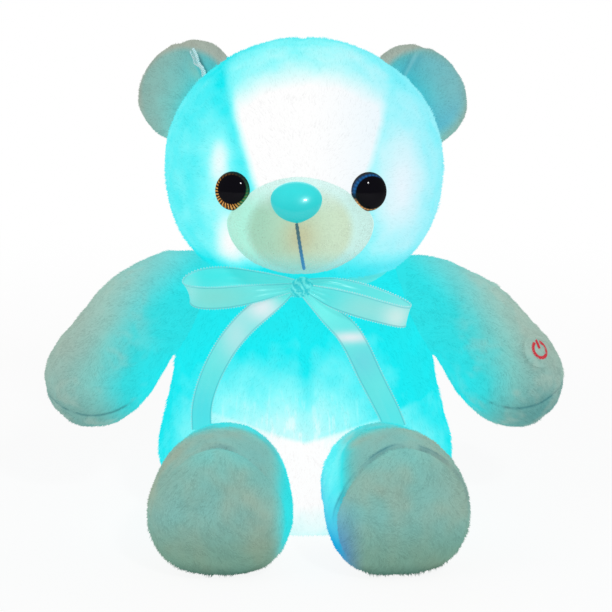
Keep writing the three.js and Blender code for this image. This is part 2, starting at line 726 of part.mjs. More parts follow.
// Ribbon: a collar in the neck groove, a knot, two loops and two tails on the belly
const collarSides = 36;
const collar = (out) => Array.from({ length: collarSides }, (_, i) => {
  const turn = (i / collarSides) * 2 * Math.PI;
  const dip = collarDip * Math.sin(turn) ** 2;
  return new THREE.Vector3((collarHalfWidth + out) * Math.cos(turn),
    (collarHalfDepth + out) * Math.sin(turn), collarZ - dip);
});
function closedBand(outer, inner, height) {
  const count = outer.length;
  const rise = new THREE.Vector3(0, 0, height / 2);
  const rings = [[outer, -1], [outer, 1], [inner, 1], [inner, -1]].map(([ring, side]) =>
    ring.map((point) => point.clone().addScaledVector(rise, side)));
  const index = [];
  for (let level = 0; level < rings.length; level++) {
    const above = (level + 1) % rings.length;
    for (let i = 0; i < count; i++) {
      const next = (i + 1) % count;
      index.push(level * count + i, level * count + next, above * count + next);
      index.push(level * count + i, above * count + next, above * count + i);
    }
  }
  const geometry = new THREE.BufferGeometry().setFromPoints(rings.flat());
  geometry.setIndex(index);
  return solid(geometry);
}
piece("neck_ribbon", closedBand(collar(ribbonThickness), collar(0), collarHeight), "satin", bear, satinLook);

const tailFrontY = -(collarHalfDepth + 2 * ribbonThickness + 2 * gap);
const knotY = tailFrontY - gap - knotDepth / 2;
const knot = ball(knotWidth / 2, knotDepth / 2, knotWidth / 2, 0, knotY, knotZ, 12, 8);
piece("bow_knot", knot, "satin", bear, satinLook);

// Each loop is a flattened ring of ribbon: shares of the reach, of the opening, and of the wall at its ends
const loopShares = [
  [0, 0.1, 1], [0.3, 0.38, 0], [0.65, 0.5, 0], [0.9, 0.42, 0], [1, 0, -1],
  [0.9, -0.42, 0], [0.65, -0.5, 0], [0.3, -0.38, 0], [0, -0.1, 1],
];
const leftLoopSlopeShare = -0.3;
const rightLoopSlopeShare = -0.06;
for (const [name, slope] of [["left", leftLoopSlopeShare], ["right", rightLoopSlopeShare]]) {
  const outline = (thin) => loopShares.map(([reach, open, end]) =>
    new THREE.Vector3(reach * loopReach + end * thin, -open * (loopOpen - 2 * thin), 0));
  const flat = closedBand(outline(0), outline(ribbonThickness), ribbonWidth);
  const geometry = geometryOf(flat);
  const lean = new THREE.Matrix4().makeRotationY(-Math.atan(slope));
  const start = shift(knotWidth / 2 + gap, knotY, knotZ);
  geometry.applyMatrix4(start.multiply(lean));
  const placed = solid(geometry);
  piece(`${name}_bow_loop`, name === "left" ? placed : mirrored(placed), "satin", bear, satinLook);
}

// Ribbon tails, draped on the belly: places across and up as shares of the torso
function torsoAt(z) {
  const level = Math.min(z, torsoHeight);
  const above = Math.max(torsoRows.findIndex((row) => row.s >= level), 1);
  const low = torsoRows[above - 1];
  const high = torsoRows[above];
  const share = (level - low.s) / (high.s - low.s);
  const between = (key) => low[key] + (high[key] - low[key]) * share;
  return { full: between("full"), depth: between("depth"), forward: between("forward") };
}

function bellyY(x, z) {
  const row = torsoAt(z);
  return row.forward - row.depth * Math.sqrt(1 - (x / row.full) ** 2);
}

const tailShares = {
  right: [[-0.09, 0.965], [-0.19, 0.925], [-0.34, 0.86], [-0.5, 0.77], [-0.63, 0.665], [-0.69, 0.57], [-0.69, 0.5]],
  left: [[0.055, 0.955], [0.145, 0.895], [0.28, 0.83], [0.36, 0.74], [0.45, 0.64], [0.52, 0.58], [0.565, 0.52]],
};
const tailRings = 14;
const collarFrontY = -(collarHalfDepth + ribbonThickness + gap);
for (const [name, shares] of Object.entries(tailShares)) {
  const path = new THREE.CatmullRomCurve3(shares.map(([across, up]) =>
    new THREE.Vector3(across * torsoHalfWidth, 0, up * torsoHeight)));
  const out = new THREE.Vector3(0, -1, 0);
  const rings = Array.from({ length: tailRings + 1 }, (_, i) => {
    const along = path.getTangent(i / tailRings);
    const side = new THREE.Vector3().crossVectors(along, out).normalize();
    const centre = path.getPoint(i / tailRings);
    return [[1, -1], [1, 1], [0, 1], [0, -1]].map(([lift, edge]) => {
      const point = centre.clone().addScaledVector(side, edge * ribbonWidth / 2);
      const onBelly = Math.min(bellyY(point.x, point.z), collarFrontY);
      return point.setY(onBelly - gap - lift * ribbonThickness);
    });
  });
  piece(`${name}_ribbon_tail`, loft(rings), "satin", bear, satinLook);
}

// Lamps: a clear cup, open at the back, with its board and a light emitter
function lamp(name, y, z, parent) {
  const mouth = new THREE.Vector3(0, y + lampLength / 2, z);
  const cup = rod(lampRadius, lampLength, aimed(mouth, forward), 24)
    .subtract(rod(lampRadius - lampWall, lampLength, aimed(mouth.clone().setY(mouth.y + lampWall), forward), 24));
  piece(`${name}_lamp_cover`, cup, "clear", parent, { roughness: 0.15 });
  const boardFace = mouth.clone().setY(mouth.y - boardInset);
  piece(`${name}_lamp_board`, rod(lampRadius - lampWall - gap, boardThickness, aimed(boardFace, forward), 20),
    "board", parent);
  const ledFace = boardFace.clone().setY(boardFace.y - boardThickness - gap);
  const dome = new THREE.SphereGeometry(ledRadius, 12, 8).translate(0, ledFace.y - ledHeight + ledRadius, z);
  const base = rod(ledRadius, ledHeight - ledRadius, aimed(ledFace, forward), 12);
  const cut = rod(2 * ledRadius, ledHeight, aimed(ledFace, forward), 12);
  piece(`${name}_lamp_led`, base.add(solid(dome).intersect(cut)), "clear", parent);
  return boardFace;
}
const bodyBoard = lamp("body", bodyLampY, bodyLampZ, bear);
const headBoard = lamp("head", headLampY, headLampZ, head);

// Battery case with its cells, contacts, control board and sliding door, in a cloth pouch
const caseMidZ = caseBottomZ + caseHeight / 2;
const channelFrontY = caseBackY - lipThickness - channelDepth;
const bayY = caseFrontY + caseWall + bayDepth / 2;
const openTop = caseHeight - caseWall + overrun;
const openTopZ = caseBottomZ + caseWall + openTop / 2;
const leadSlot = block(leadSlotWidth, 3 * overrun, leadSlotHeight, 0, caseFrontY, leadZ);
const screwZ = caseBottomZ + caseHeight - caseTopWall / 2 - gap;
const notch = block(2 * (screwRadius + gap), 2 * overrun, 2 * overrun,
  0, channelFrontY, screwZ - screwRadius - gap + overrun);
const battery = block(caseWidth, caseDepth, caseHeight, 0, caseFrontY + caseDepth / 2, caseMidZ)
  .subtract(block(bayWidth, bayDepth, bayHeight, 0, bayY, bayBottomZ + bayHeight / 2))
  .subtract(block(bayWidth, bayDepth, controlTopZ - controlBottomZ, 0, bayY, leadZ))
  .subtract(block(caseWidth - 2 * lipThickness, channelDepth, openTop,
    0, channelFrontY + channelDepth / 2, openTopZ))
  .subtract(block(bayWidth, caseDepth, openTop, 0, channelFrontY + caseDepth / 2, openTopZ))
  .subtract(leadSlot).subtract(notch);
piece("battery_case", battery, "white");

const doorWidth = caseWidth - 2 * (lipThickness + gap);
const doorHeight = caseHeight - caseWall - gap;
const doorHole = rod(screwRadius + gap, 2 * overrun,
  aimed(new THREE.Vector3(0, channelFrontY - overrun, screwZ), back));
const door = block(doorWidth, doorThickness, doorHeight, 0, channelFrontY + gap + doorThickness / 2,
  caseBottomZ + caseHeight - doorHeight / 2).subtract(doorHole);
piece("battery_door", door, "white");
const screwHeadY = channelFrontY + doorThickness + 2 * gap;
const shank = rod(screwRadius, doorThickness + 3 * gap + lipThickness,
  aimed(new THREE.Vector3(0, channelFrontY - lipThickness, screwZ), back), 12);
const screwHead = rod(screwHeadRadius, screwHeadHeight, aimed(new THREE.Vector3(0, screwHeadY, screwZ), back));
piece("door_screw", shank.add(screwHead), "metal", bear, metalLook);

const cellY = caseFrontY + caseWall + gap + cellRadius;
const cellZ = bayBottomZ + gap + contactThickness + gap;
const cellPitch = 2 * cellRadius + gap;
for (const [i, name] of ["first", "second", "third"].entries()) {
  piece(`${name}_cell`, rod(cellRadius, cellLength, shift((i - 1) * cellPitch, cellY, cellZ), 20), "cell");
}
const contactZ = [bayBottomZ + gap, bayBottomZ + bayHeight - gap - contactThickness];
for (const [i, name] of ["lower", "upper"].entries()) {
  piece(`${name}_contact_strip`, block(contactSpan, cellRadius, contactThickness,
    0, cellY, contactZ[i] + contactThickness / 2), "metal", bear, metalLook);
}
piece("control_board", block(controlWidth, boardThickness, controlHeight,
  0, caseFrontY + caseWall + gap + boardThickness / 2, leadZ), "board");

const pouchBottomZ = caseBottomZ - gap - pouchWall;
const pouchTopZ = pocketTopZ - gap;
const pouchFrontY = caseFrontY - gap - pouchWall;
const pouchMidZ = (pouchBottomZ + pouchTopZ) / 2;
const pouchDepth = pouchBackY - pouchFrontY;
const pouchInside = block(caseWidth + 2 * gap, pouchDepth, pouchTopZ - pouchBottomZ - 2 * pouchWall,
  0, pouchFrontY + pouchWall + pouchDepth / 2, pouchMidZ);
const pouch = block(caseWidth + 2 * (gap + pouchWall), pouchDepth, pouchTopZ - pouchBottomZ,
  0, pouchFrontY + pouchDepth / 2, pouchMidZ).subtract(pouchInside).subtract(leadSlot);
piece("battery_pouch", pouch, "cloth");

// Leads: each leaves the control board, passes the slot and follows the channels in the stuffing
const boardFrontY = caseFrontY + caseWall;
const inSlotY = caseFrontY - overrun;
const joinZ = shoulderZ - shoulderX * Math.tan(shoulderTilt);
const onShoulderLine = (x) => [x, 0, joinZ + x * Math.tan(shoulderTilt)];
const shoulderFace = shoulder.clone().addScaledVector(shoulderAxis, -seamGap / 2 - gap);
const leads = {
  body_lamp_lead: [
    [-leadSpread, boardFrontY, leadZ], [-leadSpread, inSlotY, leadZ],
    [-leadSpread, overrun / 2, leadZ - overrun / 2],
    [-leadSpread, 0, leadZ - 3 * overrun], [-leadSpread, 0, bodyLampZ + 2 * overrun],
    [-leadSpread, bodyBoard.y + 2 * gap, bodyLampZ],
  ],
  neck_lead: [
    [0, boardFrontY, leadZ], [0, inSlotY, leadZ], [0, overrun / 2, leadZ + overrun / 2],
    [0, 0, leadZ + 2 * overrun], [0, 0, joinZ + overrun],
    [0, 0, torsoHeight],
  ],
  switch_lead: [
    [leadSpread, boardFrontY, leadZ], [leadSpread, inSlotY, leadZ], [leadSpread, overrun / 2, leadZ + overrun / 2],
    [leadSpread, 0, leadZ + 2 * overrun], [leadSpread, 0, joinZ - overrun], onShoulderLine(2 * leadSpread),
    onShoulderLine(4 * leadSpread), shoulderFace.toArray(),
  ],
};
for (const [name, places] of Object.entries(leads)) {
  piece(name, tube(places.map((place) => new THREE.Vector3(...place)), leadRadius, 5, 14), "wire");
}
const headLead = [
  [0, 0, headBottomZ], [0, 0, (headBottomZ + headLampZ) / 2], [0, 0, headLampZ - 2 * overrun],
  [0, -leadSpread, headLampZ - gap], [0, headBoard.y + gap, headLampZ],
];
const headLeadPath = headLead.map((place) => new THREE.Vector3(...place));
piece("head_lamp_lead", tube(headLeadPath, leadRadius, 5, 14), "wire", head);

// Zip: two tapes with their coils on the curve of the back, the slider and its pull
function backStrip(x0, x1, r0, r1) {
  const turns = [zipBottomZ + gap, zipTopZ - gap].map((z) => Math.asin((z - zipCentreZ) / zipRadius));
  const steps = 8;
  return loft(Array.from({ length: steps + 1 }, (_, i) => {
    const turn = turns[0] + (turns[1] - turns[0]) * (i / steps);
    return [[x1, r1], [x0, r1], [x0, r0], [x1, r0]].map(([x, r]) =>
      new THREE.Vector3(x, zipAxis.y + r * Math.cos(turn), zipAxis.z + r * Math.sin(turn)));
  }));
}
const tape = backStrip(gap / 2, zipSlotHalfWidth - gap, zipRadius - tapeThickness, zipRadius)
  .add(backStrip(gap / 2, coilWidth, zipRadius - tapeThickness / 2, zipRadius + coilHeight));
piece("left_zip_tape", tape, "paleplush");
piece("right_zip_tape", mirrored(tape), "paleplush");

const sliderTurn = Math.asin((sliderZ - zipCentreZ) / zipRadius);
const sliderMatrix = shift(zipAxis.x, zipAxis.y, zipAxis.z)
  .multiply(new THREE.Matrix4().makeRotationX(sliderTurn)).multiply(shift(0, zipRadius, 0));
const sliderFloor = coilHeight + gap;
const eyeletY = sliderFloor + sliderThickness + bridgeHeight / 2;
const local = (width, depth, height, x, y, z) =>
  solid(new THREE.BoxGeometry(width, depth, height).translate(x, y, z).applyMatrix4(sliderMatrix));
const slider = local(sliderWidth, sliderThickness, sliderLength, 0, sliderFloor + sliderThickness / 2, 0)
  .add(local(bridgeWidth, bridgeHeight + gap, bridgeLength, 0, eyeletY - gap / 2, 0))
  .subtract(local(2 * bridgeWidth, eyeletSize, eyeletSize, 0, eyeletY, 0));
piece("zip_slider", slider, "metal", bear, metalLook);

const pullArm = bridgeLength / 2 + 2 * pullWire;
const pull = local(pullWidth, pullWire, pullWire, 0, eyeletY, 0)
  .add(local(pullWire, pullWire, pullArm, (pullWidth - pullWire) / 2, eyeletY, -pullArm / 2))
  .add(local(pullWire, pullWire, pullArm, (pullWire - pullWidth) / 2, eyeletY, -pullArm / 2))
  .add(local(pullWidth, pullWire, pullLength - pullArm, 0, eyeletY, -(pullLength + pullArm) / 2 + pullWire / 2));
piece("zip_pull", pull, "metal", bear, metalLook);

export default bear;
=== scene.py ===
import math
import bpy
import numpy as np
from mathutils.bvhtree import BVHTree
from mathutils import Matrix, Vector
from mathutils.kdtree import KDTree


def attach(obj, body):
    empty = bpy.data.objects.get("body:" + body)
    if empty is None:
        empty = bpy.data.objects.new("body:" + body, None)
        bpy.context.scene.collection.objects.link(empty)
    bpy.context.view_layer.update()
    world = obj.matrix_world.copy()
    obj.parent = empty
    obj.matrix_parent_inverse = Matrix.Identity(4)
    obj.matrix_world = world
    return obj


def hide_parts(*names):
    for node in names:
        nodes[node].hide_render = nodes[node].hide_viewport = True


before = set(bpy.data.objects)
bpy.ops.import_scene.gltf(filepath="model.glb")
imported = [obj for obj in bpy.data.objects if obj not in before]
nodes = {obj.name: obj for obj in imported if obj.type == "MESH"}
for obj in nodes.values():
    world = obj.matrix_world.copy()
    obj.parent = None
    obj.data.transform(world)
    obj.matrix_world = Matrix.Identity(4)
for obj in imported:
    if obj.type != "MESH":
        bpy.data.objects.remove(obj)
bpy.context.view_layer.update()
bpy.ops.object.select_all(action="DESELECT")
print("frame loaded")

mm = 0.001


def colour(red, green, blue):  # a screen colour, 0 to 255, as the linear colour that the nodes take
    def linear(v):
        v /= 255
        return v / 12.92 if v <= 0.04045 else ((v + 0.055) / 1.055) ** 2.4
    return (linear(red), linear(green), linear(blue), 1)


class Wire:  # one output of a node, and sums of wires add their Math nodes
    def __init__(self, finish, socket):
        self.finish = finish
        self.socket = socket

    def maths(self, operation, first, second=None, clamp=False):
        values = {0: first} if second is None else {0: first, 1: second}
        return self.finish.node("Math", {"operation": operation, "use_clamp": clamp}, values)

    def __add__(self, other):
        return self.maths("ADD", self, other)

    def __sub__(self, other):
        return self.maths("SUBTRACT", self, other)

    def __rsub__(self, other):
        return self.maths("SUBTRACT", other, self)

    def __mul__(self, other):
        return self.maths("MULTIPLY", self, other)

    def __truediv__(self, other):
        return self.maths("DIVIDE", self, other)

    def __pow__(self, other):
        return self.maths("POWER", self, other)

    def __abs__(self):
        return self.maths("ABSOLUTE", self)

    __radd__ = __add__
    __rmul__ = __mul__

    def sine(self):
        return self.maths("SINE", self)

    def exp(self):
        return self.maths("EXPONENT", self)

    def root(self):
        return self.maths("SQRT", self)

    def least(self, other):
        return self.maths("MINIMUM", self, other)

    def clamped(self):
        return self.maths("ADD", self, 0.0, clamp=True)

    def step(self, low, high):  # 0 below low, 1 above high, smooth between
        values = {"Value": self, "From Min": low, "From Max": high}
        return self.finish.node("MapRange", {"interpolation_type": "SMOOTHSTEP"}, values)


class Finish:  # one material and the nodes that feed its shader
    def __init__(self, name, constants=None):
        self.material = bpy.data.materials.new(name)
        self.material.use_nodes = True
        self.tree = self.material.node_tree
        self.shader = self.tree.nodes["Principled BSDF"]
        self.material.cycles.emission_sampling = "NONE"
        for socket, value in (constants or {}).items():
            self.shader.inputs[socket].default_value = value

    def node(self, kind, settings=None, values=None, output=0):
        made = self.tree.nodes.new("ShaderNode" + kind)
        for key, value in (settings or {}).items():
            if key == "stops":
                ramp = made.color_ramp
                while len(ramp.elements) < len(value):
                    ramp.elements.new(0.5)
                for element, (place, tint) in zip(ramp.elements, value):
                    element.position = place
                    element.color = tint
            else:
                setattr(made, key, value)
        for key, value in (values or {}).items():
            self.feed(made.inputs[key], value)
        return Wire(self, made.outputs[output])

    def feed(self, socket, value):
        if isinstance(value, Wire):
            self.tree.links.new(value.socket, socket)
        else:
            socket.default_value = value

    def surface(self, **inputs):
        for key, value in inputs.items():
            self.feed(self.shader.inputs[key.replace("_", " ")], value)
        return self.material

    def glowing(self, tone, share, **inputs):  # the surface gives off this share of its colour by itself
        dark = (0, 0, 0, 1)
        own, given = self.mix(share, tone, dark), self.mix(share, dark, tone)
        return self.surface(Base_Color=own, Emission_Color=given, **inputs)

    def layers(self, tone, *coats):  # each coat is a mask and the screen colour that it lays over the last
        for mask, tint in coats:
            tone = self.mix(mask, tone, colour(*tint))
        return tone

    def place(self):
        return self.node("TexCoord", output="Object")

    def parts(self, vector):
        made = self.tree.nodes.new("ShaderNodeSeparateXYZ")
        self.feed(made.inputs[0], vector)
        return [Wire(self, socket) for socket in made.outputs]

    def noise(self, scale, detail=3, roughness=0.5, vector=None):
        values = {"Vector": vector or self.place(), "Scale": scale, "Detail": detail, "Roughness": roughness}
        return self.node("TexNoise", {}, values, "Fac")

    def attribute(self, name):
        return self.node("Attribute", {"attribute_name": name}, {}, "Fac")

    def ramp(self, factor, stops):
        return self.node("ValToRGB", {"stops": stops}, {"Fac": factor})

    def mix(self, factor, first, second, blend="MIX"):
        made = self.tree.nodes.new("ShaderNodeMix")
        made.data_type = "RGBA"
        made.blend_type = blend
        for socket, value in ((0, factor), (6, first), (7, second)):
            self.feed(made.inputs[socket], value)
        return Wire(self, made.outputs[2])

    def bump(self, height, distance, strength=1.0):
        return self.node("Bump", {}, {"Height": height, "Distance": distance, "Strength": strength})


def softSpot(finish, centre, spread, place=None):  # 1 at a point and fading round it
    x, y, z = finish.parts(place or finish.place())
    far = sum(((axis - at) / width) ** 2 for axis, at, width in zip((x, y, z), centre, spread))
    return (far * -1.0).exp()


def softLine(offset, width):  # 1 where the offset is 0 and fading to both sides
    return ((offset / width) ** 2 * -1.0).exp()


# camera, floor and light
view = {"elevation": 11, "distance": 1.1, "lens": 104.4, "sensor": 36, "aim": (0.0012, 0, 0.1343)}


def placeCamera():
    tilt = math.radians(view["elevation"])
    camera = bpy.data.objects.new("camera", bpy.data.cameras.new("camera"))
    bpy.context.scene.collection.objects.link(camera)
    camera.data.lens = view["lens"]
    camera.data.sensor_width = view["sensor"]
    back = Vector((0, -math.cos(tilt), math.sin(tilt)))
    camera.location = Vector(view["aim"]) + back * view["distance"]
    camera.rotation_euler = (math.pi / 2 - tilt, 0, 0)
    camera.data.clip_start = 0.05
    camera.data.clip_end = 60
    bpy.context.scene.camera = camera


light = {
    "key": {"at": (0.42, -1.25, 1.0), "size": 0.17, "watts": 8.0},
    "fill": {"at": (-1.2, -0.9, 1.0), "size": 1.6, "watts": 6.5},
    "back": {"at": (0.2, 1.3, 1.1), "size": 1.2, "watts": 5.5},
    "target": (0, 0, 0.13),
    "world": 0.42,
    "floorGlow": 0.9,
}


def areaLight(name, at, size, watts):
    lamp = bpy.data.lights.new(name, "AREA")
    lamp.shape = "DISK"
    lamp.size = size
    lamp.energy = watts
    made = bpy.data.objects.new(name, lamp)
    bpy.context.scene.collection.objects.link(made)
    made.location = at
    towards = Vector(light["target"]) - Vector(at)
    made.rotation_euler = towards.to_track_quat("-Z", "Y").to_euler()
    made.visible_glossy = name == "keyLight"


def placeStage():
    for name in ("key", "fill", "back"):
        areaLight(name + "Light", **light[name])
    world = bpy.data.worlds.new("room")
    bpy.context.scene.world = world
    world.use_nodes = True
    tree = world.node_tree
    path = tree.nodes.new("ShaderNodeLightPath")
    seen = tree.nodes.new("ShaderNodeMath")
    seen.operation = "MAXIMUM"
    tree.links.new(path.outputs["Is Camera Ray"], seen.inputs[0])
    tree.links.new(path.outputs["Is Transmission Ray"], seen.inputs[1])
    strength = tree.nodes.new("ShaderNodeMapRange")
    strength.inputs["To Min"].default_value = light["world"]
    strength.inputs["To Max"].default_value = 1.0
    tree.links.new(seen.outputs[0], strength.inputs["Value"])
    background = tree.nodes["Background"]
    background.inputs["Color"].default_value = (1, 1, 1, 1)
    tree.links.new(strength.outputs[0], background.inputs["Strength"])

    bpy.ops.mesh.primitive_plane_add(size=24)
    floor = bpy.context.object
    floor.name = "floor"
    finish = Finish("paleFloor", {"Roughness": 0.9, "Base Color": (0.92, 0.92, 0.92, 1)})
    glow = finish.node("Emission", {}, {"Color": (1, 1, 1, 1), "Strength": 1.0})
    lightPath = finish.tree.nodes.new("ShaderNodeLightPath")
    x, y, z = finish.parts(finish.place())
    far = (x * x + y * y).root().step(0.25, 1.3)
    byCamera = Wire(finish, lightPath.outputs["Is Camera Ray"])
    seenBy = byCamera * (far * (1 - light["floorGlow"]) + light["floorGlow"])
    mixed = finish.node("MixShader", {}, {0: seenBy, 1: Wire(finish, finish.shader.outputs[0]), 2: glow})
    output = finish.tree.nodes["Material Output"]
    finish.tree.links.new(mixed.socket, output.inputs["Surface"])
    floor.data.materials.append(finish.material)


placeCamera()
placeStage()
scene = bpy.context.scene
scene.view_settings.view_transform = "Standard"
print("camera, floor and light placed")


def hump(offset, width):  # 1 where the offset is 0 and fading to both sides
    return np.exp(-(offset / width) ** 2)


def rising(values, start, span):  # 0 up to the start, 1 past the span
    return np.clip((values - start) / span, 0, 1)


def curveBetween(a, b, c, d, t):  # a smooth curve from b to c, led by a and d
    return 0.5 * (2 * b + (c - a) * t + (2 * a - 5 * b + 4 * c - d) * t * t
                  + (3 * b - a - 3 * c + d) * t ** 3)


def withEnds(rows):  # one more row before and after, straight on
    return np.vstack([2 * rows[0] - rows[1], rows, 2 * rows[-1] - rows[-2]])


def respaced(rows, count, axes):  # the line's points spaced evenly along its first axes, and its length
    steps = np.linalg.norm(np.diff(rows[:, :axes], axis=0), axis=1)
    run = np.concatenate([[0], np.cumsum(steps)])
    even = np.linspace(0, run[-1], count)
    return np.stack([np.interp(even, run, rows[:, k]) for k in range(rows.shape[1])], axis=1), run[-1]


def smoothRows(rows, count=160):  # a curve through every row of a profile
    ends = withEnds(np.array(rows, float))
    made = []
    for i in range(1, len(ends) - 2):
        t = np.linspace(0, 1, 24, endpoint=i == len(ends) - 3)[:, None]
        made.append(curveBetween(*ends[i - 1:i + 3], t))
    return respaced(np.vstack(made), count, 2)[0]


def rowAt(rows, share):  # the rows' values at a share of their length
    at = np.clip(share, 0, 1) * (len(rows) - 1)
    return [np.interp(at, np.arange(len(rows)), rows[:, k]) for k in range(rows.shape[1])]


def pointsOf(piece):
    co = np.empty(len(piece.data.vertices) * 3)
    piece.data.vertices.foreach_get("co", co)
    return co.reshape(-1, 3)


def putPoints(piece, co):
    piece.data.vertices.foreach_set("co", np.ascontiguousarray(co, float).ravel())
    piece.data.update()


def turnOut(piece):  # faces point outwards
    bpy.ops.object.select_all(action="DESELECT")
    piece.select_set(True)
    bpy.context.view_layer.objects.active = piece
    bpy.ops.object.mode_set(mode="EDIT")
    bpy.ops.mesh.select_all(action="SELECT")
    bpy.ops.mesh.normals_make_consistent(inside=False)
    bpy.ops.object.mode_set(mode="OBJECT")


# a soft form is a sphere whose points are put in place along a profile, so it is closed at both poles
def softForm(name, placing, segments, rings):  # placing takes each point's turn and share of the height
    bpy.ops.object.select_all(action="DESELECT")
    bpy.ops.mesh.primitive_uv_sphere_add(segments=segments, ring_count=rings, radius=1)
    piece = bpy.context.object
    piece.name = name
    ball = pointsOf(piece)
    share = 1 - np.arccos(np.clip(ball[:, 2], -1, 1)) / math.pi
    turn = np.arctan2(ball[:, 1], ball[:, 0])
    putPoints(piece, placing(turn, share))
    turnOut(piece)
    bpy.ops.object.shade_smooth()
    return piece


def ripple(co, scale, seed):  # a smooth random wave over space, about -1 to 1, the same in each run
    rng = np.random.default_rng(seed)
    total = np.zeros(len(co))
    for i in range(7):
        direction = rng.normal(size=3)
        direction *= 2 * math.pi / (scale * rng.uniform(0.7, 1.6) * np.linalg.norm(direction))
        total += np.sin(co @ direction + rng.uniform(0, 2 * math.pi))
    return total / 2.6  # seven waves seldom add up to more than this


def unit(vectors):
    return vectors / np.maximum(np.linalg.norm(vectors, axis=1, keepdims=True), 1e-9)


torsoShape = {
    "height": 157.7, "halfWidth": 89, "halfDepth": 67, "bellyForward": 3, "inset": 1.6,
    "seamDepth": 1.5, "creaseDepth": 1.2, "hips": (5.5, 4), "collar": 3.2,  # the hips' swell, left and right
    # each row: share of the height, of the half width and of the half depth
    "rows": [(0, 0, 0), (0, 0.4, 0.4), (0.004, 0.69, 0.68), (0.03, 0.8, 0.8), (0.075, 0.88, 0.88),
             (0.14, 0.945, 0.945), (0.25, 0.99, 0.99), (0.35, 1, 1), (0.475, 0.97, 0.978), (0.6, 0.925, 0.93),
             (0.73, 0.895, 0.86), (0.84, 0.885, 0.79), (0.915, 0.85, 0.73), (0.965, 0.745, 0.66),
             (0.99, 0.575, 0.56), (1, 0.3, 0.3), (1, 0, 0)],
}


def torsoPlace(turn, share):
    shape = torsoShape
    rows = smoothRows([(wide * shape["halfWidth"], high * shape["height"], deep * shape["halfDepth"])
                       for high, wide, deep in shape["rows"]])
    width, height, depth = rowAt(rows, share)
    forward = -shape["bellyForward"] * np.sin(np.clip(height / shape["height"], 0, 1) * math.pi)
    inset = shape["inset"] * np.minimum(1, width / 30)
    x = (width - inset) * np.cos(turn)
    y = forward + (depth - inset) * np.sin(turn)
    z = np.clip(height, 0.4, None)
    seam = hump(x, 3.5) * (y < 0) * rising(z, 60, 15)  # down the belly's middle, to a point
    crease = hump(z - 64 - 0.28 * np.abs(x), 3) * (y < 0) * (np.abs(x) < 48)  # across under the belly
    y = y + shape["seamDepth"] * seam + shape["creaseDepth"] * crease
    hips = hump(z - 38, 24) * np.where(x > 0, *shape["hips"]) * np.clip(np.abs(x) / 80, 0, 1) ** 2
    x = x + np.sign(x) * hips
    collar = hump(np.abs(x) - 55, 10) * rising(z, 143, 8)  # the cloth rises to the neck's seam
    return np.stack([x, y, z + shape["collar"] * collar], axis=1) * mm


def stationRows(stations, inset):  # along, across and radius, drawn in by the inset along their own normals
    rows = smoothRows(stations)
    rise = np.gradient(rows[:, 2])
    run = np.hypot(np.gradient(rows[:, 0]), np.gradient(rows[:, 1]))
    size = np.hypot(rise, run) + 1e-9
    rows[:, 2] = np.maximum(rows[:, 2] - inset * run / size, 0)
    return rows


armShape = {
    "depthShare": 0.96, "inset": 1.6, "seamDepth": 1.2,
    "drop": {1: 6.0, -1: 0.5}, "seamLow": {1: 75.5, -1: 70},  # for the bear's left and right arm
    # each row: x, z and the radius at that place
    "rows": [(58, 136.3, 0), (58.5, 136.3, 24), (60, 136.5, 31), (74, 138, 32.3), (84, 136, 32.6),
             (100.6, 127.5, 31.4), (111.6, 113.5, 32.2), (121, 100, 33.6), (131, 89, 33), (140, 80.6, 29.2),
             (147.5, 73.6, 21.4), (151.8, 69.8, 11.5), (153.6, 68, 0)],
}


def armPlace(side):
    def place(turn, share):
        rows = stationRows(armShape["rows"], armShape["inset"])
        x, z, radius = rowAt(rows, share)
        dx = np.interp(share, np.linspace(0, 1, len(rows)), np.gradient(rows[:, 0]))
        dz = np.interp(share, np.linspace(0, 1, len(rows)), np.gradient(rows[:, 1]))
        size = np.hypot(dx, dz)
        upX, upZ = -dz / size, dx / size
        high = radius * np.cos(turn)
        wide = radius * armShape["depthShare"] * np.sin(turn)
        drop = armShape["drop"][side] * hump(x - 88, 20) * np.clip(np.cos(turn), 0, 1)
        across = x + upX * high
        level = z + upZ * high - armShape["seamLow"][side] - 0.013 * (across - 130) ** 2  # the paw's seam
        seam = hump(level, 1.7) * (np.sin(turn) > 0) * rising(across, 104, 6)
        y = -wide + armShape["seamDepth"] * seam
        return np.stack([side * across, y, z + upZ * high - drop], axis=1) * mm
    return place


legShape = {
    "hip": (46, -72, 41.5), "inset": 1.6, "taper": 0.24, "fuller": 0.17,
    "toeOut": {1: 11, -1: 2.5},  # degrees, for the bear's left and right leg
    # each row: along the leg from the hip, and the radius there
    "rows": [(-37, 0), (-35.8, 9.5), (-30, 21.8), (-21.7, 30.2), (-11, 35.5), (0, 37.4), (9, 38.6),
             (20, 40.4), (33, 42.2), (43, 42), (48, 40.8), (50.4, 38.2), (50.8, 30), (50.8, 0)],
    "soleRows": [(45, 0), (45.5, 26), (47, 34), (49.4, 37.6), (51.8, 38.4), (54.6, 36.2), (57.4, 30),
                 (59.2, 20), (59.8, 9), (59.9, 0)],
}


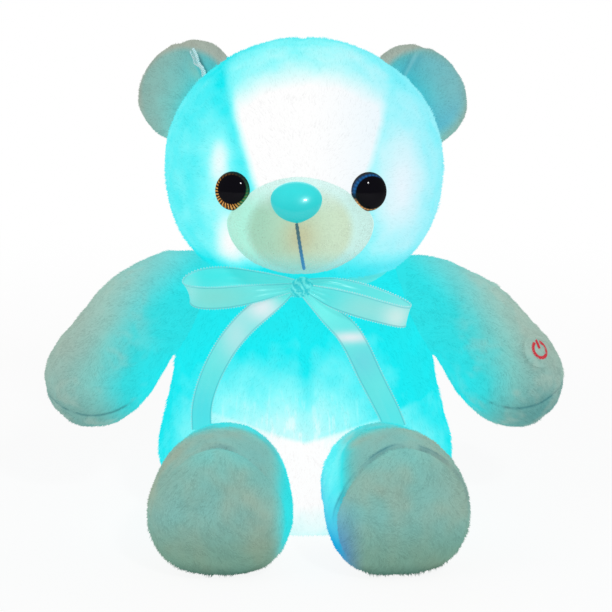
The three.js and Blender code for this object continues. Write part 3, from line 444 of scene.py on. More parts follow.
def legPlace(side, rows):
    shape = legShape
    toe = math.radians(shape["toeOut"][side])
    heading = np.array([side * math.sin(toe), -math.cos(toe), 0])
    across = np.array([heading[1], -heading[0], 0])
    hip = np.array([side * shape["hip"][0], shape["hip"][1], shape["hip"][2]])

    def place(turn, share):
        line = stationRows([(s, 0, r) for s, r in rows], shape["inset"])
        along, _, radius = rowAt(line, share)
        toFront = rising(along, 20, 24)
        high = np.sin(turn) * np.clip(radius / 36, 0, 1)
        # the left foot's outer side stays broad higher up
        fuller = np.clip(-np.cos(turn), 0, 1) * (side > 0) * shape["fuller"]
        pear = 1 - toFront * np.where(high > 0, shape["taper"] * 1.1 - fuller, shape["taper"] * 0.6) * high
        wide = np.sign(np.cos(turn)) * np.abs(np.cos(turn)) ** (1 - 0.2 * toFront * np.clip(-high, 0, 1))
        co = hip + along[:, None] * heading + (radius * wide * pear)[:, None] * across
        co[:, 2] = hip[2] + radius * np.sin(turn) - 1.6 * toFront * np.clip(high, 0, 1) ** 2
        low = np.clip((5 - co[:, 2]) / 5, 0, None)  # the weight flattens the underside
        co[:, 2] = np.maximum(co[:, 2], 0.5) + 0.8 * np.minimum(low, 1)
        return co * mm
    return place


headShape = {
    "halfWidth": 86, "halfDepth": 75, "centre": 224, "rise": 76.6, "bottom": 158.1, "neckShare": 0.845,
    "cheekPower": 2.4, "inset": 1.6, "turned": -2,
    "panelHalf": (31, 48), "panelZ": (216, 274),  # the forehead panel's half width low and high
    "seamDrop": 0.8, "seamIn": 0.026, "notch": 1.1, "socket": (38.6, 216), "socketSize": 13, "socketIn": 0.03,
}


def panelEdge(z):  # the forehead panel's half width at a height, in mm
    low, high = headShape["panelZ"]
    share = np.clip((z - low) / (high - low), -0.3, 1.25)
    narrow, wide = headShape["panelHalf"]
    return narrow + (wide - narrow) * share


def turnedHead(co):
    turn = math.radians(headShape["turned"])
    x = co[:, 0] * math.cos(turn) - co[:, 1] * math.sin(turn)
    y = co[:, 0] * math.sin(turn) + co[:, 1] * math.cos(turn)
    return np.stack([x, y, co[:, 2]], axis=1)


def headPlace(turn, share):
    shape = headShape
    rows = [(0, shape["bottom"], 0), (25, shape["bottom"], 0), (44, shape["bottom"] + 0.6, 0)]
    for down in (0.97, 0.88, 0.76, 0.62, 0.46, 0.3, 0.15, 0):
        wide = (1 - (down * shape["neckShare"]) ** shape["cheekPower"]) ** (1 / shape["cheekPower"])
        low = shape["centre"] - down * (shape["centre"] - shape["bottom"])
        rows.append((wide * shape["halfWidth"], low, 0))
    for degrees in (12, 24, 36, 48, 60, 71, 81, 90):
        up = math.radians(degrees)
        rows.append((math.cos(up) * shape["halfWidth"], shape["centre"] + shape["rise"] * math.sin(up), 0))
    rows = smoothRows(rows)
    width, z, _ = rowAt(rows, share)
    inset = shape["inset"] * np.minimum(1, width / 30)
    x = (width - inset) * np.cos(turn)
    y = (width - inset) * shape["halfDepth"] / shape["halfWidth"] * np.sin(turn)
    z = z - shape["inset"] * rising(z, shape["centre"], shape["rise"])
    front = np.clip(-y / 20, 0, 1)
    seam = hump(np.abs(x) - panelEdge(z), 4.2) * front * rising(z, 212, 10)
    notch = hump(x + 1, 3) * rising(z, 285, 8)  # the middle seam over the crown
    (eyeX, eyeZ), size = shape["socket"], shape["socketSize"]
    socket = np.exp(-(((np.abs(x) - eyeX) / size) ** 2 + ((z - eyeZ) / size) ** 2)) * front
    shrink = 1 - shape["seamIn"] * seam - shape["socketIn"] * socket
    co = np.stack([x * shrink, y * shrink, z - shape["notch"] * notch - shape["seamDrop"] * seam], axis=1)
    return turnedHead(co) * mm


earShape = {
    "centre": (72, 4, 265), "radius": 29.5, "thickness": 15, "edge": 0.8, "lean": 0.16, "tall": 1.07,
    "foldHeight": 4.4, "besideDepth": 3.4,  # the pinch in the upper inner rim
    "shift": {1: (-3.6, -1.6), -1: (-1.2, 1)},  # sideways and up, for the bear's left and right ear
    # each row: share of the radius, and how far forward as a share of the thickness
    "rows": [(0, -0.5), (0.35, -0.48), (0.75, -0.4), (0.95, -0.18), (1, 0.12), (0.96, 0.36), (0.84, 0.46),
             (0.68, 0.28), (0.45, 0.08), (0.2, 0), (0, 0)],
}


def earPlace(side):
    def place(turn, share):
        shape = earShape
        rows = smoothRows([(r, h, 0) for r, h in shape["rows"]])
        radius, forward, _ = rowAt(rows, share)
        x = shape["centre"][0] + (radius * shape["radius"] - shape["edge"]) * np.cos(turn)
        z = shape["centre"][2] + (radius * shape["radius"] - shape["edge"]) * np.sin(turn)
        y = shape["centre"][1] - forward * shape["thickness"]
        # the pinch: the upper inner rim is gathered into a fold that runs down into the bowl
        slant = 0.66 * (z - 283)
        fold = hump(x - 67.2 - slant, 3.2) * rising(z, 264, 10)
        beside = hump(x - 73.5 - slant, 3.4) * rising(z, 264, 10)
        y = y - shape["foldHeight"] * fold * (share > 0.5) + shape["besideDepth"] * beside * (share > 0.5)
        z = z - 1.2 * beside * (radius > 0.8)
        tall = (z - shape["centre"][2]) * shape["tall"]  # the ears lean in towards the crown
        x = x - shape["lean"] * np.clip(tall, -8, None) + 0.6
        along, up = shape["shift"][side]
        co = np.stack([side * (x + along), y, 265.4 + tall + up], axis=1)
        return turnedHead(co) * mm
    return place


muzzleShape = {
    "centre": (1, -58, 195.7), "half": (43.6, 40, 31), "inset": 0.8,
    "ringDepth": 1.4, "innerRise": 1.2, "grooveDepth": 1.6, "eyeHollow": 9,
}


def muzzlePlace(turn, share):
    shape = muzzleShape
    lift = -np.cos(share * math.pi)  # -1 at the back, 1 at the front
    girth = np.sqrt(np.clip(1 - lift * lift, 0, 1))
    half = [value - shape["inset"] for value in shape["half"]]
    x = half[0] * girth * np.cos(turn) * (1 - 0.2 * np.clip(girth * np.sin(turn), 0, 1) ** 1.3)
    z = half[2] * girth * np.sin(turn)
    y = -half[1] * lift
    front = lift > 0
    inner = np.hypot(x / 30.5, (z + 1.5) / 25.5)
    ring = hump(inner - 1, 0.07) * front  # the edge of the face's inner panel
    y = y + shape["ringDepth"] * ring - shape["innerRise"] * np.clip((1 - inner) / 0.4, 0, 1) * front
    groove = hump(x, 2.6) * (z < 8) * front
    byEye = np.exp(-(((np.abs(x) - 39) / 11) ** 2 + ((z - 17) / 11) ** 2))
    y = y + shape["grooveDepth"] * groove + shape["eyeHollow"] * byEye
    co = np.stack([x, y + shape["centre"][1], z + shape["centre"][2]], axis=1)
    return turnedHead(co) * mm


forms = {}
forms["torsoSkin"] = softForm("torsoSkin", torsoPlace, 112, 96)
forms["headSkin"] = softForm("headSkin", headPlace, 128, 104)
forms["muzzlePad"] = softForm("muzzlePad", muzzlePlace, 96, 72)
for side, name in ((1, "left"), (-1, "right")):
    forms[name + "ArmSkin"] = softForm(name + "ArmSkin", armPlace(side), 72, 80)
    forms[name + "LegSkin"] = softForm(name + "LegSkin", legPlace(side, legShape["rows"]), 80, 64)
    forms[name + "SolePad"] = softForm(name + "SolePad", legPlace(side, legShape["soleRows"]), 80, 48)
    forms[name + "EarPad"] = softForm(name + "EarPad", earPlace(side), 72, 60)
print("soft forms made:", len(forms))


# the plush is coloured by how strongly the lamps light it from inside
plush = {
    # lamp level and the colour there, for the pile's tips and for its roots and the cloth under it
    "tips": [(0, (162, 184, 172)), (0.25, (142, 212, 204)), (0.5, (80, 230, 230)), (0.75, (40, 244, 250)),
             (0.95, (168, 255, 255)), (1.15, (228, 255, 255)), (1.4, (255, 255, 255))],
    "roots": [(0, (138, 172, 164)), (0.25, (118, 202, 196)), (0.5, (32, 214, 220)), (0.75, (12, 234, 244)),
              (0.95, (96, 250, 255)), (1.15, (196, 255, 255)), (1.4, (255, 255, 255))],
    "own": (0.84, 0.13),  # the share that the cloth gives off unlit, and what full light adds
    "brightest": 1.4,
    "mottle": 0.2,
}


def plushRamp(finish, level, which):
    stops = [(at / plush["brightest"], colour(*tint)) for at, tint in plush[which]]
    return finish.ramp((level / plush["brightest"]).clamped(), stops)


def plushFinish(name, levelOf, isPile, tint=None):
    finish = Finish(name, {"Roughness": 0.95, "Sheen Weight": 0.02, "Sheen Roughness": 0.6,
                           "Emission Strength": 1.0, "Specular IOR Level": 0.0})
    place = finish.place()
    broad = finish.noise(70, 2, 0.5, place)
    fine = finish.noise(420, 2, 0.6, place)
    level = levelOf(finish, place) + (broad - 0.5) * 0.14
    if isPile:
        shade = finish.attribute("shade")
        share = finish.attribute("tip") * 0.24 + shade * 0.3 + 0.19
        share = share + (broad - 0.5) * 2 * plush["mottle"] + (fine - 0.5) * 0.14
    else:
        share = (fine - 0.5) * 0.2 + 0.46 + (broad - 0.5) * 2 * plush["mottle"]
    share = share.clamped()
    tone = finish.mix(share, plushRamp(finish, level, "roots"), plushRamp(finish, level, "tips"))
    if tint:
        tone = tint(finish, place, tone)
    if isPile:  # each tuft catches the light a little differently
        relief = (shade - 0.5 + finish.attribute("tip") * 0.3) * (0.3 - level.clamped() * 0.14) + 0.96
        tone = finish.mix(1.0, tone, relief, "MULTIPLY")
    unlit, added = plush["own"]
    finish.glowing(tone, level.step(0.0, 1.3) * added + unlit)
    if not isPile:
        finish.surface(Normal=finish.bump(finish.noise(1600, 2, 0.6, place), 0.0004, 0.5))
    return finish.material


def torsoLevel(finish, place):
    x, y, z = finish.parts(place)
    white = softSpot(finish, (0.004, -0.05, 0.036), (0.06, 0.09, 0.05), place)
    below = (z - 0.064 - abs(x) * 0.28).step(-0.0015, 0.0025)  # the seam across under the belly
    white = white * (1.0 - below * 0.62)
    belly = softSpot(finish, (-0.012, -0.06, 0.074), (0.042, 0.05, 0.03), place)
    seam = softSpot(finish, (0.001, -0.07, 0.1), (0.004, 0.05, 0.03), place)
    chest = softSpot(finish, (0.03, -0.06, 0.11), (0.03, 0.05, 0.02), place)
    sides = softSpot(finish, (-0.05, -0.05, 0.085), (0.02, 0.05, 0.03), place)
    tall = finish.node("VectorMath", {"operation": "MULTIPLY"}, {0: place, 1: (260, 260, 60)})
    streak = finish.noise(1.0, 2, 0.6, tall).step(0.5, 0.72)
    near = softSpot(finish, (-0.004, -0.06, 0.07), (0.05, 0.05, 0.022), place)
    glow = softSpot(finish, (0.0, 0.065, 0.06), (0.05, 0.06, 0.042), place) * 0.3
    rear = (glow - softLine(x, 0.0016) * 0.1 - 0.18) * y.step(0.0, 0.05)
    lit = white * 0.72 + belly * 0.26 + sides * 0.1 + chest * 0.08 + 0.7 - seam * 0.08 + streak * near * 0.13
    return lit + rear


def headLevel(finish, place):
    x, y, z = finish.parts(place)
    front = 1.0 - y.step(-0.03, 0.0)
    low, high = [value * mm for value in headShape["panelZ"]]
    narrow, wide = [value * mm for value in headShape["panelHalf"]]
    edge = (z - low) * ((wide - narrow) / (high - low)) + narrow
    off = abs(x - 0.003) - edge
    inside = (1.0 - off.step(-0.0055, 0.0035)) * front * z.step(0.166, 0.196)
    upper = 1.0 - (z + (x / 0.05) ** 2 * 0.022).step(0.268, 0.29) * 0.78
    valley = softLine(off - 0.005, 0.006) * front * z.step(0.222, 0.24) * (1.0 - x.step(0.0, 0.03) * 0.75)
    # the brighter places beside the muzzle and the eyes
    beside = softSpot(finish, (-0.0485, -0.055, 0.231), (0.0055, 0.04, 0.013), place) * 0.85
    beside = beside + softSpot(finish, (-0.052, -0.055, 0.212), (0.008, 0.04, 0.02), place) * 0.3
    beside = beside + softSpot(finish, (-0.044, -0.055, 0.187), (0.0065, 0.04, 0.015), place) * 0.85
    beside = beside + softSpot(finish, (0.056, -0.055, 0.216), (0.015, 0.04, 0.03), place)
    chin = softSpot(finish, (-0.038, -0.06, 0.178), (0.014, 0.04, 0.011), place) * 0.75
    chin = chin - (1.0 - z.step(0.162, 0.18)) * 0.4
    corner = softSpot(finish, (-0.055, -0.03, 0.262), (0.02, 0.05, 0.022), place)
    corner = corner + z.step(0.262, 0.288) * abs(x).step(0.024, 0.05) * 3.0
    base = 0.86 + x.step(-0.01, 0.06) * 0.11 - corner * 0.03 - valley * 0.04 + (beside + chin) * 0.42
    glow = softSpot(finish, (0.0, 0.075, 0.24), (0.045, 0.06, 0.04), place) * 0.26
    rear = (glow - softLine(x - y * 0.035, 0.0016) * 0.1 - 0.24) * y.step(0.0, 0.06)
    return base + inside * upper * 0.6 + rear


def armLevel(finish, place):
    x, y, z = finish.parts(place)
    inner = sum(softSpot(finish, (side * 0.1, -0.02, 0.085), (0.03, 0.06, 0.03), place) for side in (-1, 1))
    return 0.6 - abs(x).step(0.07, 0.15) * 0.53 + inner * 0.2


def legLevel(finish, place):
    x, y, z = finish.parts(place)
    isLeft = x.step(-0.01, 0.01)
    behind = y.step(-0.104, -0.07)
    inner = 1.0 - (abs(x) - isLeft * 0.009).step(0.009, 0.024)
    lit = behind * 0.6 + inner * (0.45 + isLeft * 0.3) + 0.12
    return lit.least(0.86) * (0.45 + z.step(0.0, 0.03) * 0.55)


def soleLevel(finish, place):
    x, y, z = finish.parts(place)
    inner = softLine(abs(x) - 0.006, 0.011)
    return inner * 0.42 + z.step(0.045, 0.085) * (0.18 - x.step(-0.01, 0.01) * 0.08) + 0.12


def earLevel(finish, place):
    x, y, z = finish.parts(place)
    near = ((abs(x) - 0.06) / 0.02) ** 2 + ((z - 0.25) / 0.026) ** 2
    return (near * -1.0).exp() * 0.6 + 0.06


def greyRim(finish, place, tone):  # the rim catches less light than the bowl
    x, y, z = finish.parts(place)
    out = (((abs(x) - 0.072) / 0.0295) ** 2 + ((z - 0.265) / 0.0295) ** 2).root()
    lit = ((((abs(x) - 0.056) / 0.02) ** 2 + ((z - 0.264) / 0.03) ** 2) * -1.0).exp()
    fold = abs(x) - 0.0575 - (z - 0.269) * 0.458
    front = z.step(0.262, 0.272) * (1.0 - y.step(0.0, 0.004)) * (1.0 - x.step(-0.01, 0.01) * 0.6)
    front = front * (1.0 - z.step(0.287, 0.292))
    blue = x.step(0.0, 0.01) * (0.75 - z.step(0.24, 0.27) * 0.4) * (1.0 - out.step(0.7, 0.98))
    return finish.layers(
        tone,
        (lit * (1.0 - y.step(0.004, 0.01)) * 0.92, (24, 186, 198)),
        # painted shade on both sides of the pinch's fold, and a painted highlight along its ridge
        (softLine(fold - 0.0035, 0.002) * front * 0.6, (40, 116, 130)),
        (softLine(fold + 0.0022, 0.0014) * front * 0.7, (44, 96, 104)),
        (softLine(fold - 0.0005, 0.0016) * front * 0.5, (196, 222, 222)),
        (out.step(0.84, 1.02) * z.step(0.24, 0.27) * 0.7, (184, 178, 162)),
        (blue, (80, 186, 214)))


def duskBelow(finish, place, tone):  # the feet are darker and greener below, with painted shade towards the floor and along the sole's seam, and their outer sides are paler
    x, y, z = finish.parts(place)
    mottle = finish.noise(32, 2, 0.5, place)
    isLeft = x.step(-0.01, 0.01)
    front = (1.0 - y.step(-0.078, -0.05)) * (abs(x) - isLeft * 0.008).step(0.009, 0.02)
    # painted shade along the seam round the sole, broken up in patches
    seam = (y + 0.072) * -0.99 + (abs(x) - 0.046) * (isLeft * 0.147 + 0.0436)
    patchy = finish.noise(60, 2, 0.5, place).step(0.3, 0.6)
    seam = softLine(seam - 0.0492, 0.0012) * z.step(0.03, 0.05) * patchy
    seam = seam * (isLeft + (1.0 - isLeft) * softLine(x + 0.044, 0.014))
    blue = (1.0 - x.step(0.016, 0.036)) * x.step(-0.002, 0.004) * (1.0 - z.step(0.01, 0.06))
    return finish.layers(
        tone,
        ((1.0 - z.step(0.056, 0.084) * 0.8) * 0.55 * front, (128, 182, 172)),
        (mottle.step(0.42, 0.74) * 0.55 * front, (172, 178, 156)),
        ((1.0 - mottle.step(0.3, 0.5)) * 0.4 * front, (116, 190, 188)),
        (seam * (0.35 + isLeft * 0.3), (40, 112, 128)),
        # painted shade, deepest where the foot meets the floor
        ((1.0 - z.step(0.008, 0.044)) * 0.62 * front, (112, 144, 118)),
        ((1.0 - z.step(0.0, 0.013)) * 0.75 * front, (36, 84, 76)),
        (blue * 0.8, (8, 128, 214)),
        (abs(x).step(0.062, 0.092) * 0.4 * z.step(0.02, 0.05) * front, (166, 174, 152)))


def paleArm(finish, place, tone):  # the tops of the arms are paler; painted shade makes the paws' undersides duller and darkens their seam
    x, y, z = finish.parts(place)
    tip = softSpot(finish, (0.15, -0.02, 0.072), (0.026, 0.06, 0.02), place)
    upper = (z + abs(x) * 0.9 - 0.225).step(-0.01, 0.03)  # the outer edge is a warmer grey
    # painted shade along the paw's seam, broken up by noise
    low, high = armShape["seamLow"][-1] * mm, armShape["seamLow"][1] * mm
    level = z - x.step(-0.01, 0.01) * (high - low) - (abs(x) - 0.13) ** 2 * 13.0 - low
    line = softLine(level, 0.0009) * (1.0 - y.step(-0.01, 0.004)) * abs(x).step(0.104, 0.112)
    line = line * finish.noise(160, 2, 0.5, place).step(0.3, 0.55)
    mottle = finish.noise(55, 2, 0.6, place).step(0.5, 0.7)
    return finish.layers(
        tone,
        ((1.0 - z.step(0.066, 0.09)) * 0.55 * abs(x).step(0.1, 0.13), (104, 158, 152)),
        (tip * 0.6, (72, 150, 152)),
        (upper * 0.4, (196, 200, 184)),
        (line * 0.6, (52, 118, 126)),
        (mottle * abs(x).step(0.08, 0.12) * 0.3, (186, 204, 190)))


def coolRight(finish, place, tone):  # the head's left half is paler and bluer
    x, y, z = finish.parts(place)
    return finish.mix(x.step(0.0, 0.07) * 0.3, tone, colour(150, 226, 255))


# short tapered hairs, each a closed spike of four faces, combed over the form
def pile(name, skin, body, hairs, comb, finish, skip=None, seed=1):
    rng = np.random.default_rng(seed)
    mesh = skin.data
    mesh.calc_loop_triangles()
    count = len(mesh.loop_triangles)
    corners = np.empty(count * 3, np.int32)
    mesh.loop_triangles.foreach_get("vertices", corners)
    loops = np.empty(count * 3, np.int32)
    mesh.loop_triangles.foreach_get("loops", loops)
    corners, loops = corners.reshape(-1, 3), loops.reshape(-1, 3)
    stable = np.lexsort(np.sort(corners, axis=1).T)  # a sphere's faces come in another order in each run
    corners, loops = corners[stable], loops[stable]
    co = pointsOf(skin)
    a, b, c = (co[corners[:, k]] for k in range(3))
    slope = np.cross(b - a, c - a)
    normals = np.zeros(co.shape)
    for k in range(3):
        np.add.at(normals, corners[:, k], slope / mm ** 2)
    normals = unit(normals)
    layout = np.empty(len(mesh.loops) * 2)
    mesh.uv_layers[0].data.foreach_get("uv", layout)
    layout = layout.reshape(-1, 2)
    area = np.linalg.norm(slope, axis=1)
    if skip is not None:
        area = np.where(skip((a + b + c) / 3 / mm), 0, area)
    chosen = rng.choice(count, size=hairs["count"], p=area / area.sum())
    u, v = rng.random(hairs["count"]), rng.random(hairs["count"])
    over = u + v > 1
    u[over], v[over] = 1 - u[over], 1 - v[over]
    weights = np.stack([1 - u - v, u, v], axis=1)[:, :, None]
    root = (co[corners[chosen]] * weights).sum(1)
    normal = unit((normals[corners[chosen]] * weights).sum(1))
    spot = (layout[loops[chosen]] * weights).sum(1)

    way = comb(root / mm)
    way = unit(way - normal * (way * normal).sum(1)[:, None])
    cross = np.cross(normal, way)
    swirl = np.radians(hairs["swirl"]) * ripple(root, hairs["swirlSize"] * mm, seed + 1)
    swirl += np.radians(hairs["stray"]) * rng.normal(size=len(root))
    way = way * np.cos(swirl)[:, None] + cross * np.sin(swirl)[:, None]
    lean = np.radians(hairs["lean"] + 6 * rng.normal(size=len(root)) + 7 * ripple(root, 9 * mm, seed + 2))
    along = normal * np.cos(lean)[:, None] + way * np.sin(lean)[:, None]
    length = hairs["length"] * mm * rng.uniform(0.65, 1.15, len(root))
    length = length * (1 + 0.14 * ripple(root, 14 * mm, seed + 3))
    tip = root + along * length[:, None]
    tufts = max(int(area.sum() / 2 / (hairs["tuft"] * mm) ** 2), 8)  # tips draw together into tufts
    tree = KDTree(tufts)
    for j in range(tufts):
        tree.insert(tip[j], j)
    tree.balance()
    near = np.array([[found[1] for found in tree.find_n(spot, 10)] for spot in tip])
    off = tip[near] - tip[:, None]
    lengthwise = (off * way[near]).sum(2)
    best = (np.arange(len(tip)), np.argmin((off ** 2).sum(2) - 0.94 * lengthwise ** 2, axis=1))
    tuft = near[best]  # a tuft is long and narrow, so the nearest one is found across the comb's way
    pull = (off[best] - way[tuft] * lengthwise[best][:, None]) * hairs["gather"]
    tip = tip + pull - normal * (pull * normal).sum(1)[:, None]
    across = unit(np.cross(along, normal))
    deep = unit(np.cross(across, along))
    half = hairs["width"] * mm / 2
    root = root - normal * 0.3 * mm
    base = [root + across * half, root - across * half, root - deep * half * 1.3]
    points = np.stack([*base, tip], axis=1).reshape(-1, 3)

    made = bpy.data.meshes.new(name)
    total = len(root)
    made.vertices.add(total * 4)
    made.vertices.foreach_set("co", points.ravel())
    faces = np.array([0, 2, 1, 0, 1, 3, 1, 2, 3, 2, 0, 3])
    index = (np.arange(total)[:, None] * 4 + faces).ravel()
    made.loops.add(len(index))
    made.loops.foreach_set("vertex_index", index)
    made.polygons.add(total * 4)
    made.polygons.foreach_set("loop_start", np.arange(0, len(index), 3))
    made.polygons.foreach_set("use_smooth", np.ones(total * 4, bool))
    made.update()
    for key, values in (("tip", np.tile([0, 0, 0, 1], total)),
                        ("shade", np.repeat(0.6 * rng.random(tufts)[tuft] + 0.4 * rng.random(total), 4))):
        made.attributes.new(key, "FLOAT", "POINT").data.foreach_set("value", values.astype(np.float32))
    corner = np.array([[-1, 0], [1, 0], [0, -1], [0, 2]]) * 0.0006
    spread = (spot[:, None, :] + corner[None]).reshape(-1, 2)
    made.uv_layers.new(name="OFBake").data.foreach_set("uv", np.clip(spread[index], 0, 1).ravel())
    soft = unit(normal + 0.35 * across * rng.normal(size=(total, 1)) + 0.25 * along)
    made.normals_split_custom_set_from_vertices(np.repeat(soft, 4, axis=0))
    piece = bpy.data.objects.new(name, made)
    bpy.context.scene.collection.objects.link(piece)
    made.materials.append(finish)
    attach(piece, body)
    return piece


# count, mm, degrees; gather is how far a hair's tip is drawn to its tuft's
hair = {
    "torso": {"count": 49000, "length": 2.9, "width": 0.5, "lean": 73, "stray": 12, "tuft": 2.2,
              "gather": 0.3, "swirl": 24, "swirlSize": 26},
    "head": {"count": 49500, "length": 2.7, "width": 0.48, "lean": 74, "stray": 12, "tuft": 2.1,
             "gather": 0.3, "swirl": 20, "swirlSize": 24},
    "arm": {"count": 44000, "length": 2.6, "width": 0.46, "lean": 73, "stray": 14, "tuft": 2.2,
            "gather": 0.32, "swirl": 30, "swirlSize": 20},
    "leg": {"count": 36000, "length": 2.5, "width": 0.48, "lean": 73, "stray": 14, "tuft": 2.4,
            "gather": 0.3, "swirl": 26, "swirlSize": 20},
    "sole": {"count": 34000, "length": 2.3, "width": 0.46, "lean": 72, "stray": 14, "tuft": 2.4,
             "gather": 0.3, "swirl": 60, "swirlSize": 30},
    "ear": {"count": 18000, "length": 1.9, "width": 0.42, "lean": 74, "stray": 12, "tuft": 1.9,
            "gather": 0.3, "swirl": 20, "swirlSize": 16},
    "muzzle": {"count": 24000, "length": 1.1, "width": 0.26, "lean": 66, "stray": 18, "tuft": 1.6,
               "gather": 0.2, "swirl": 30, "swirlSize": 18},
}


def combTorso(co):
    return np.stack([0.004 * co[:, 0], 0 * co[:, 1], -np.ones(len(co))], axis=1)


def combHead(co):
    return co - np.array([-3, -96, 202])


def combArm(side):
    def comb(co):
        line = rising(np.abs(co[:, 0]), 80, 50)
        return np.stack([side * np.ones(len(co)), 0 * line, -0.15 - 0.95 * line], axis=1)
    return comb


def combLeg(side):
    def comb(co):
        return np.stack([side * 0.2 * np.ones(len(co)), -np.ones(len(co)), -0.25 * np.ones(len(co))], axis=1)
    return comb


def combSole(co):
    return np.stack([0.3 * np.sin(co[:, 2] / 17), 0 * co[:, 0], -np.ones(len(co))], axis=1)


def combEar(side):
    def comb(co):
        return co - np.array([side * 66, co[:, 1].mean(), 258])
    return comb


def combMuzzle(co):
    return co - np.array([-3, -100, 214])


patch = {
    "centre": (144.8, -21.1, 111.8), "axis": (0.582, -0.636, 0.506), "radius": 10.9,
    "markRadius": 5.3, "markWidth": 2.2, "markGap": 27,
    "markStitches": (74, 20),  # round the ring and down the bar
    "hollow": 4.2, "margin": 2.5,
    # each row: the radius, and how far out
    "rows": [(0, -1.2), (8, -1.2), (10.4, -1.1), (10.9, -0.7), (10.6, -0.1), (8.5, 0.1), (4, 0.25), (0, 0.3)],
}


def underTorso(co):  # out of sight: on the floor, in the neck and where a limb is sewn on
    arm = (np.abs(co[:, 0]) > 68) & (np.hypot(co[:, 1], co[:, 2] - 137) < 24)
    neck = (co[:, 2] > 154) & (np.hypot(co[:, 0] / 52, co[:, 1] / 42) < 1)
    zipGap = (np.abs(co[:, 0]) < 11) & (co[:, 1] > 30) & (np.abs(co[:, 2] - 68) < 46)
    return (co[:, 2] < 1.5) | arm | neck | zipGap


def underHead(co):
    neck = (co[:, 2] < 160) & (np.hypot(co[:, 0], co[:, 1] * 1.15) < 48)
    muzzle = (co[:, 1] < -40) & (np.hypot((co[:, 0] + 2) / 37, (co[:, 2] - 196) / 24) < 1)
    return neck | muzzle


def underArm(co):  # in the seam with the body, and under the press patch
    axis = np.array(patch["axis"])
    off = co - np.array(patch["centre"])
    aside = np.linalg.norm(off - (off @ axis)[:, None] * axis, axis=1)
    onPatch = (aside < patch["radius"] - 0.4) & (co[:, 0] > 0) & (off @ axis > -12)
    return (np.abs(co[:, 0]) < 61) | onPatch


def underLeg(co):
    back = co[:, 1] > -50
    return back | (co[:, 2] < 1.2)


def underEar(co):
    return np.sqrt((co[:, 0] / 82) ** 2 + (co[:, 1] / 71) ** 2 + ((co[:, 2] - 224) / 70) ** 2) < 1


def underMuzzle(co):
    return co[:, 1] > -66


for name, levelOf, tint in (("torso", torsoLevel, None), ("head", headLevel, coolRight),
                            ("arm", armLevel, paleArm), ("leg", legLevel, duskBelow),
                            ("sole", soleLevel, duskBelow), ("ear", earLevel, greyRim)):
    plush[name + "Cloth"] = plushFinish(name + "Cloth", levelOf, False, tint)
    plush[name + "Pile"] = plushFinish(name + "Pile", levelOf, True, tint)
print("plush finishes made")


def muzzleFinish(name, isPile):
    finish = Finish(name, {"Roughness": 0.8, "Sheen Weight": 0.3, "Emission Strength": 1.0,
                           "Specular IOR Level": 0.2})
    place = finish.place()
    x, y, z = finish.parts(place)
    far = (((x + 0.002) / 0.0305) ** 2 + ((z - 0.1947) / 0.0255) ** 2).root()
    # painted shade on the muzzle's right side, and a paler rim painted as lamp light shining through the edge
    tone = finish.mix(x.step(-0.03, 0.024), colour(164, 216, 190), colour(208, 232, 204))
    rim = finish.mix(x.step(-0.03, 0.03), colour(178, 247, 226), colour(206, 246, 238))
    tone = finish.mix(far.step(0.86, 1.06), tone, rim)
    # a brown painted shade under the nose beside the stitch, a bluer foot, and a near-white top painted as
    # lamp light
    tone = finish.layers(
        tone,
        (softSpot(finish, (-0.002, -0.1, 0.193), (0.01, 0.03, 0.012), place) * 0.6, (204, 184, 132)),
        ((1.0 - z.step(0.167, 0.186)) * 0.75, (112, 220, 220)),
        (z.step(0.204, 0.223) * 0.85, (226, 255, 252)))
    if isPile:
        shade = finish.attribute("shade") * 0.5 + finish.attribute("tip") * 0.5
        tone = finish.layers(tone, (shade * 0.3, (240, 248, 236)))
    grain = finish.noise(900, 2, 0.6, place)
    tone = finish.layers(tone, ((grain - 0.35).clamped() * 0.12, (170, 200, 186)))
    return finish.glowing(tone, 0.84)


def dress(piece, material):
    piece.data.materials.clear()
    piece.data.materials.append(material)


dress(forms["torsoSkin"], plush["torsoCloth"])
dress(forms["headSkin"], plush["headCloth"])
dress(forms["muzzlePad"], muzzleFinish("muzzleCloth", False))
pile("torsoPile", forms["torsoSkin"], "torso", hair["torso"], combTorso, plush["torsoPile"], underTorso, 11)
pile("headPile", forms["headSkin"], "head", hair["head"], combHead, plush["headPile"], underHead, 21)
pile("muzzlePile", forms["muzzlePad"], "head", hair["muzzle"], combMuzzle, muzzleFinish("muzzlePile", True),
     underMuzzle, 31)
for side, name in ((1, "left"), (-1, "right")):
    for part, form, body, comb, skip in (("arm", "ArmSkin", "_arm", combArm(side), underArm),
                                         ("leg", "LegSkin", "_leg", combLeg(side), underLeg),
                                         ("sole", "SolePad", "_leg", combSole, None),
                                         ("ear", "EarPad", None, combEar(side), underEar)):
        skin = forms[name + form]
        dress(skin, plush[part + "Cloth"])
        rider = name + body if body else "head"
        pile(name + part.capitalize() + "Pile", skin, rider, hair[part], comb, plush[part + "Pile"], skip,
             40 + 7 * len(part) + side)
print("pile combed")


# the ribbons are woven satin with corded, dotted edges; mm, and clear is how far they lie off the cloth
ribbon = {"width": 12.6, "thick": 0.4, "cord": 0.42, "dot": 1.5, "clear": 2.9}


def treeOf(piece):  # for rays against a piece
    return BVHTree.FromPolygons([v.co[:] for v in piece.data.vertices],
                                [p.vertices[:] for p in piece.data.polygons])


def frontOf(tree, x, z, otherwise=None):  # how far forward a piece is at a place, in mm
    found = tree.ray_cast((x * mm, -0.3, z * mm), (0, 1, 0))[0]
    return found.y / mm if found is not None else otherwise


torsoTree = treeOf(forms["torsoSkin"])
armTree = treeOf(forms["leftArmSkin"])


def curveThrough(rows, count):  # a curve through places in space, and its length
    rows = np.array(rows, float)
    ends = withEnds(rows)
    found = [curveBetween(*ends[i:i + 4], t) for i in range(len(rows) - 1)
             for t in np.linspace(0, 1, 24, endpoint=False)]
    return respaced(np.array(found + [rows[-1]]), count, 3)


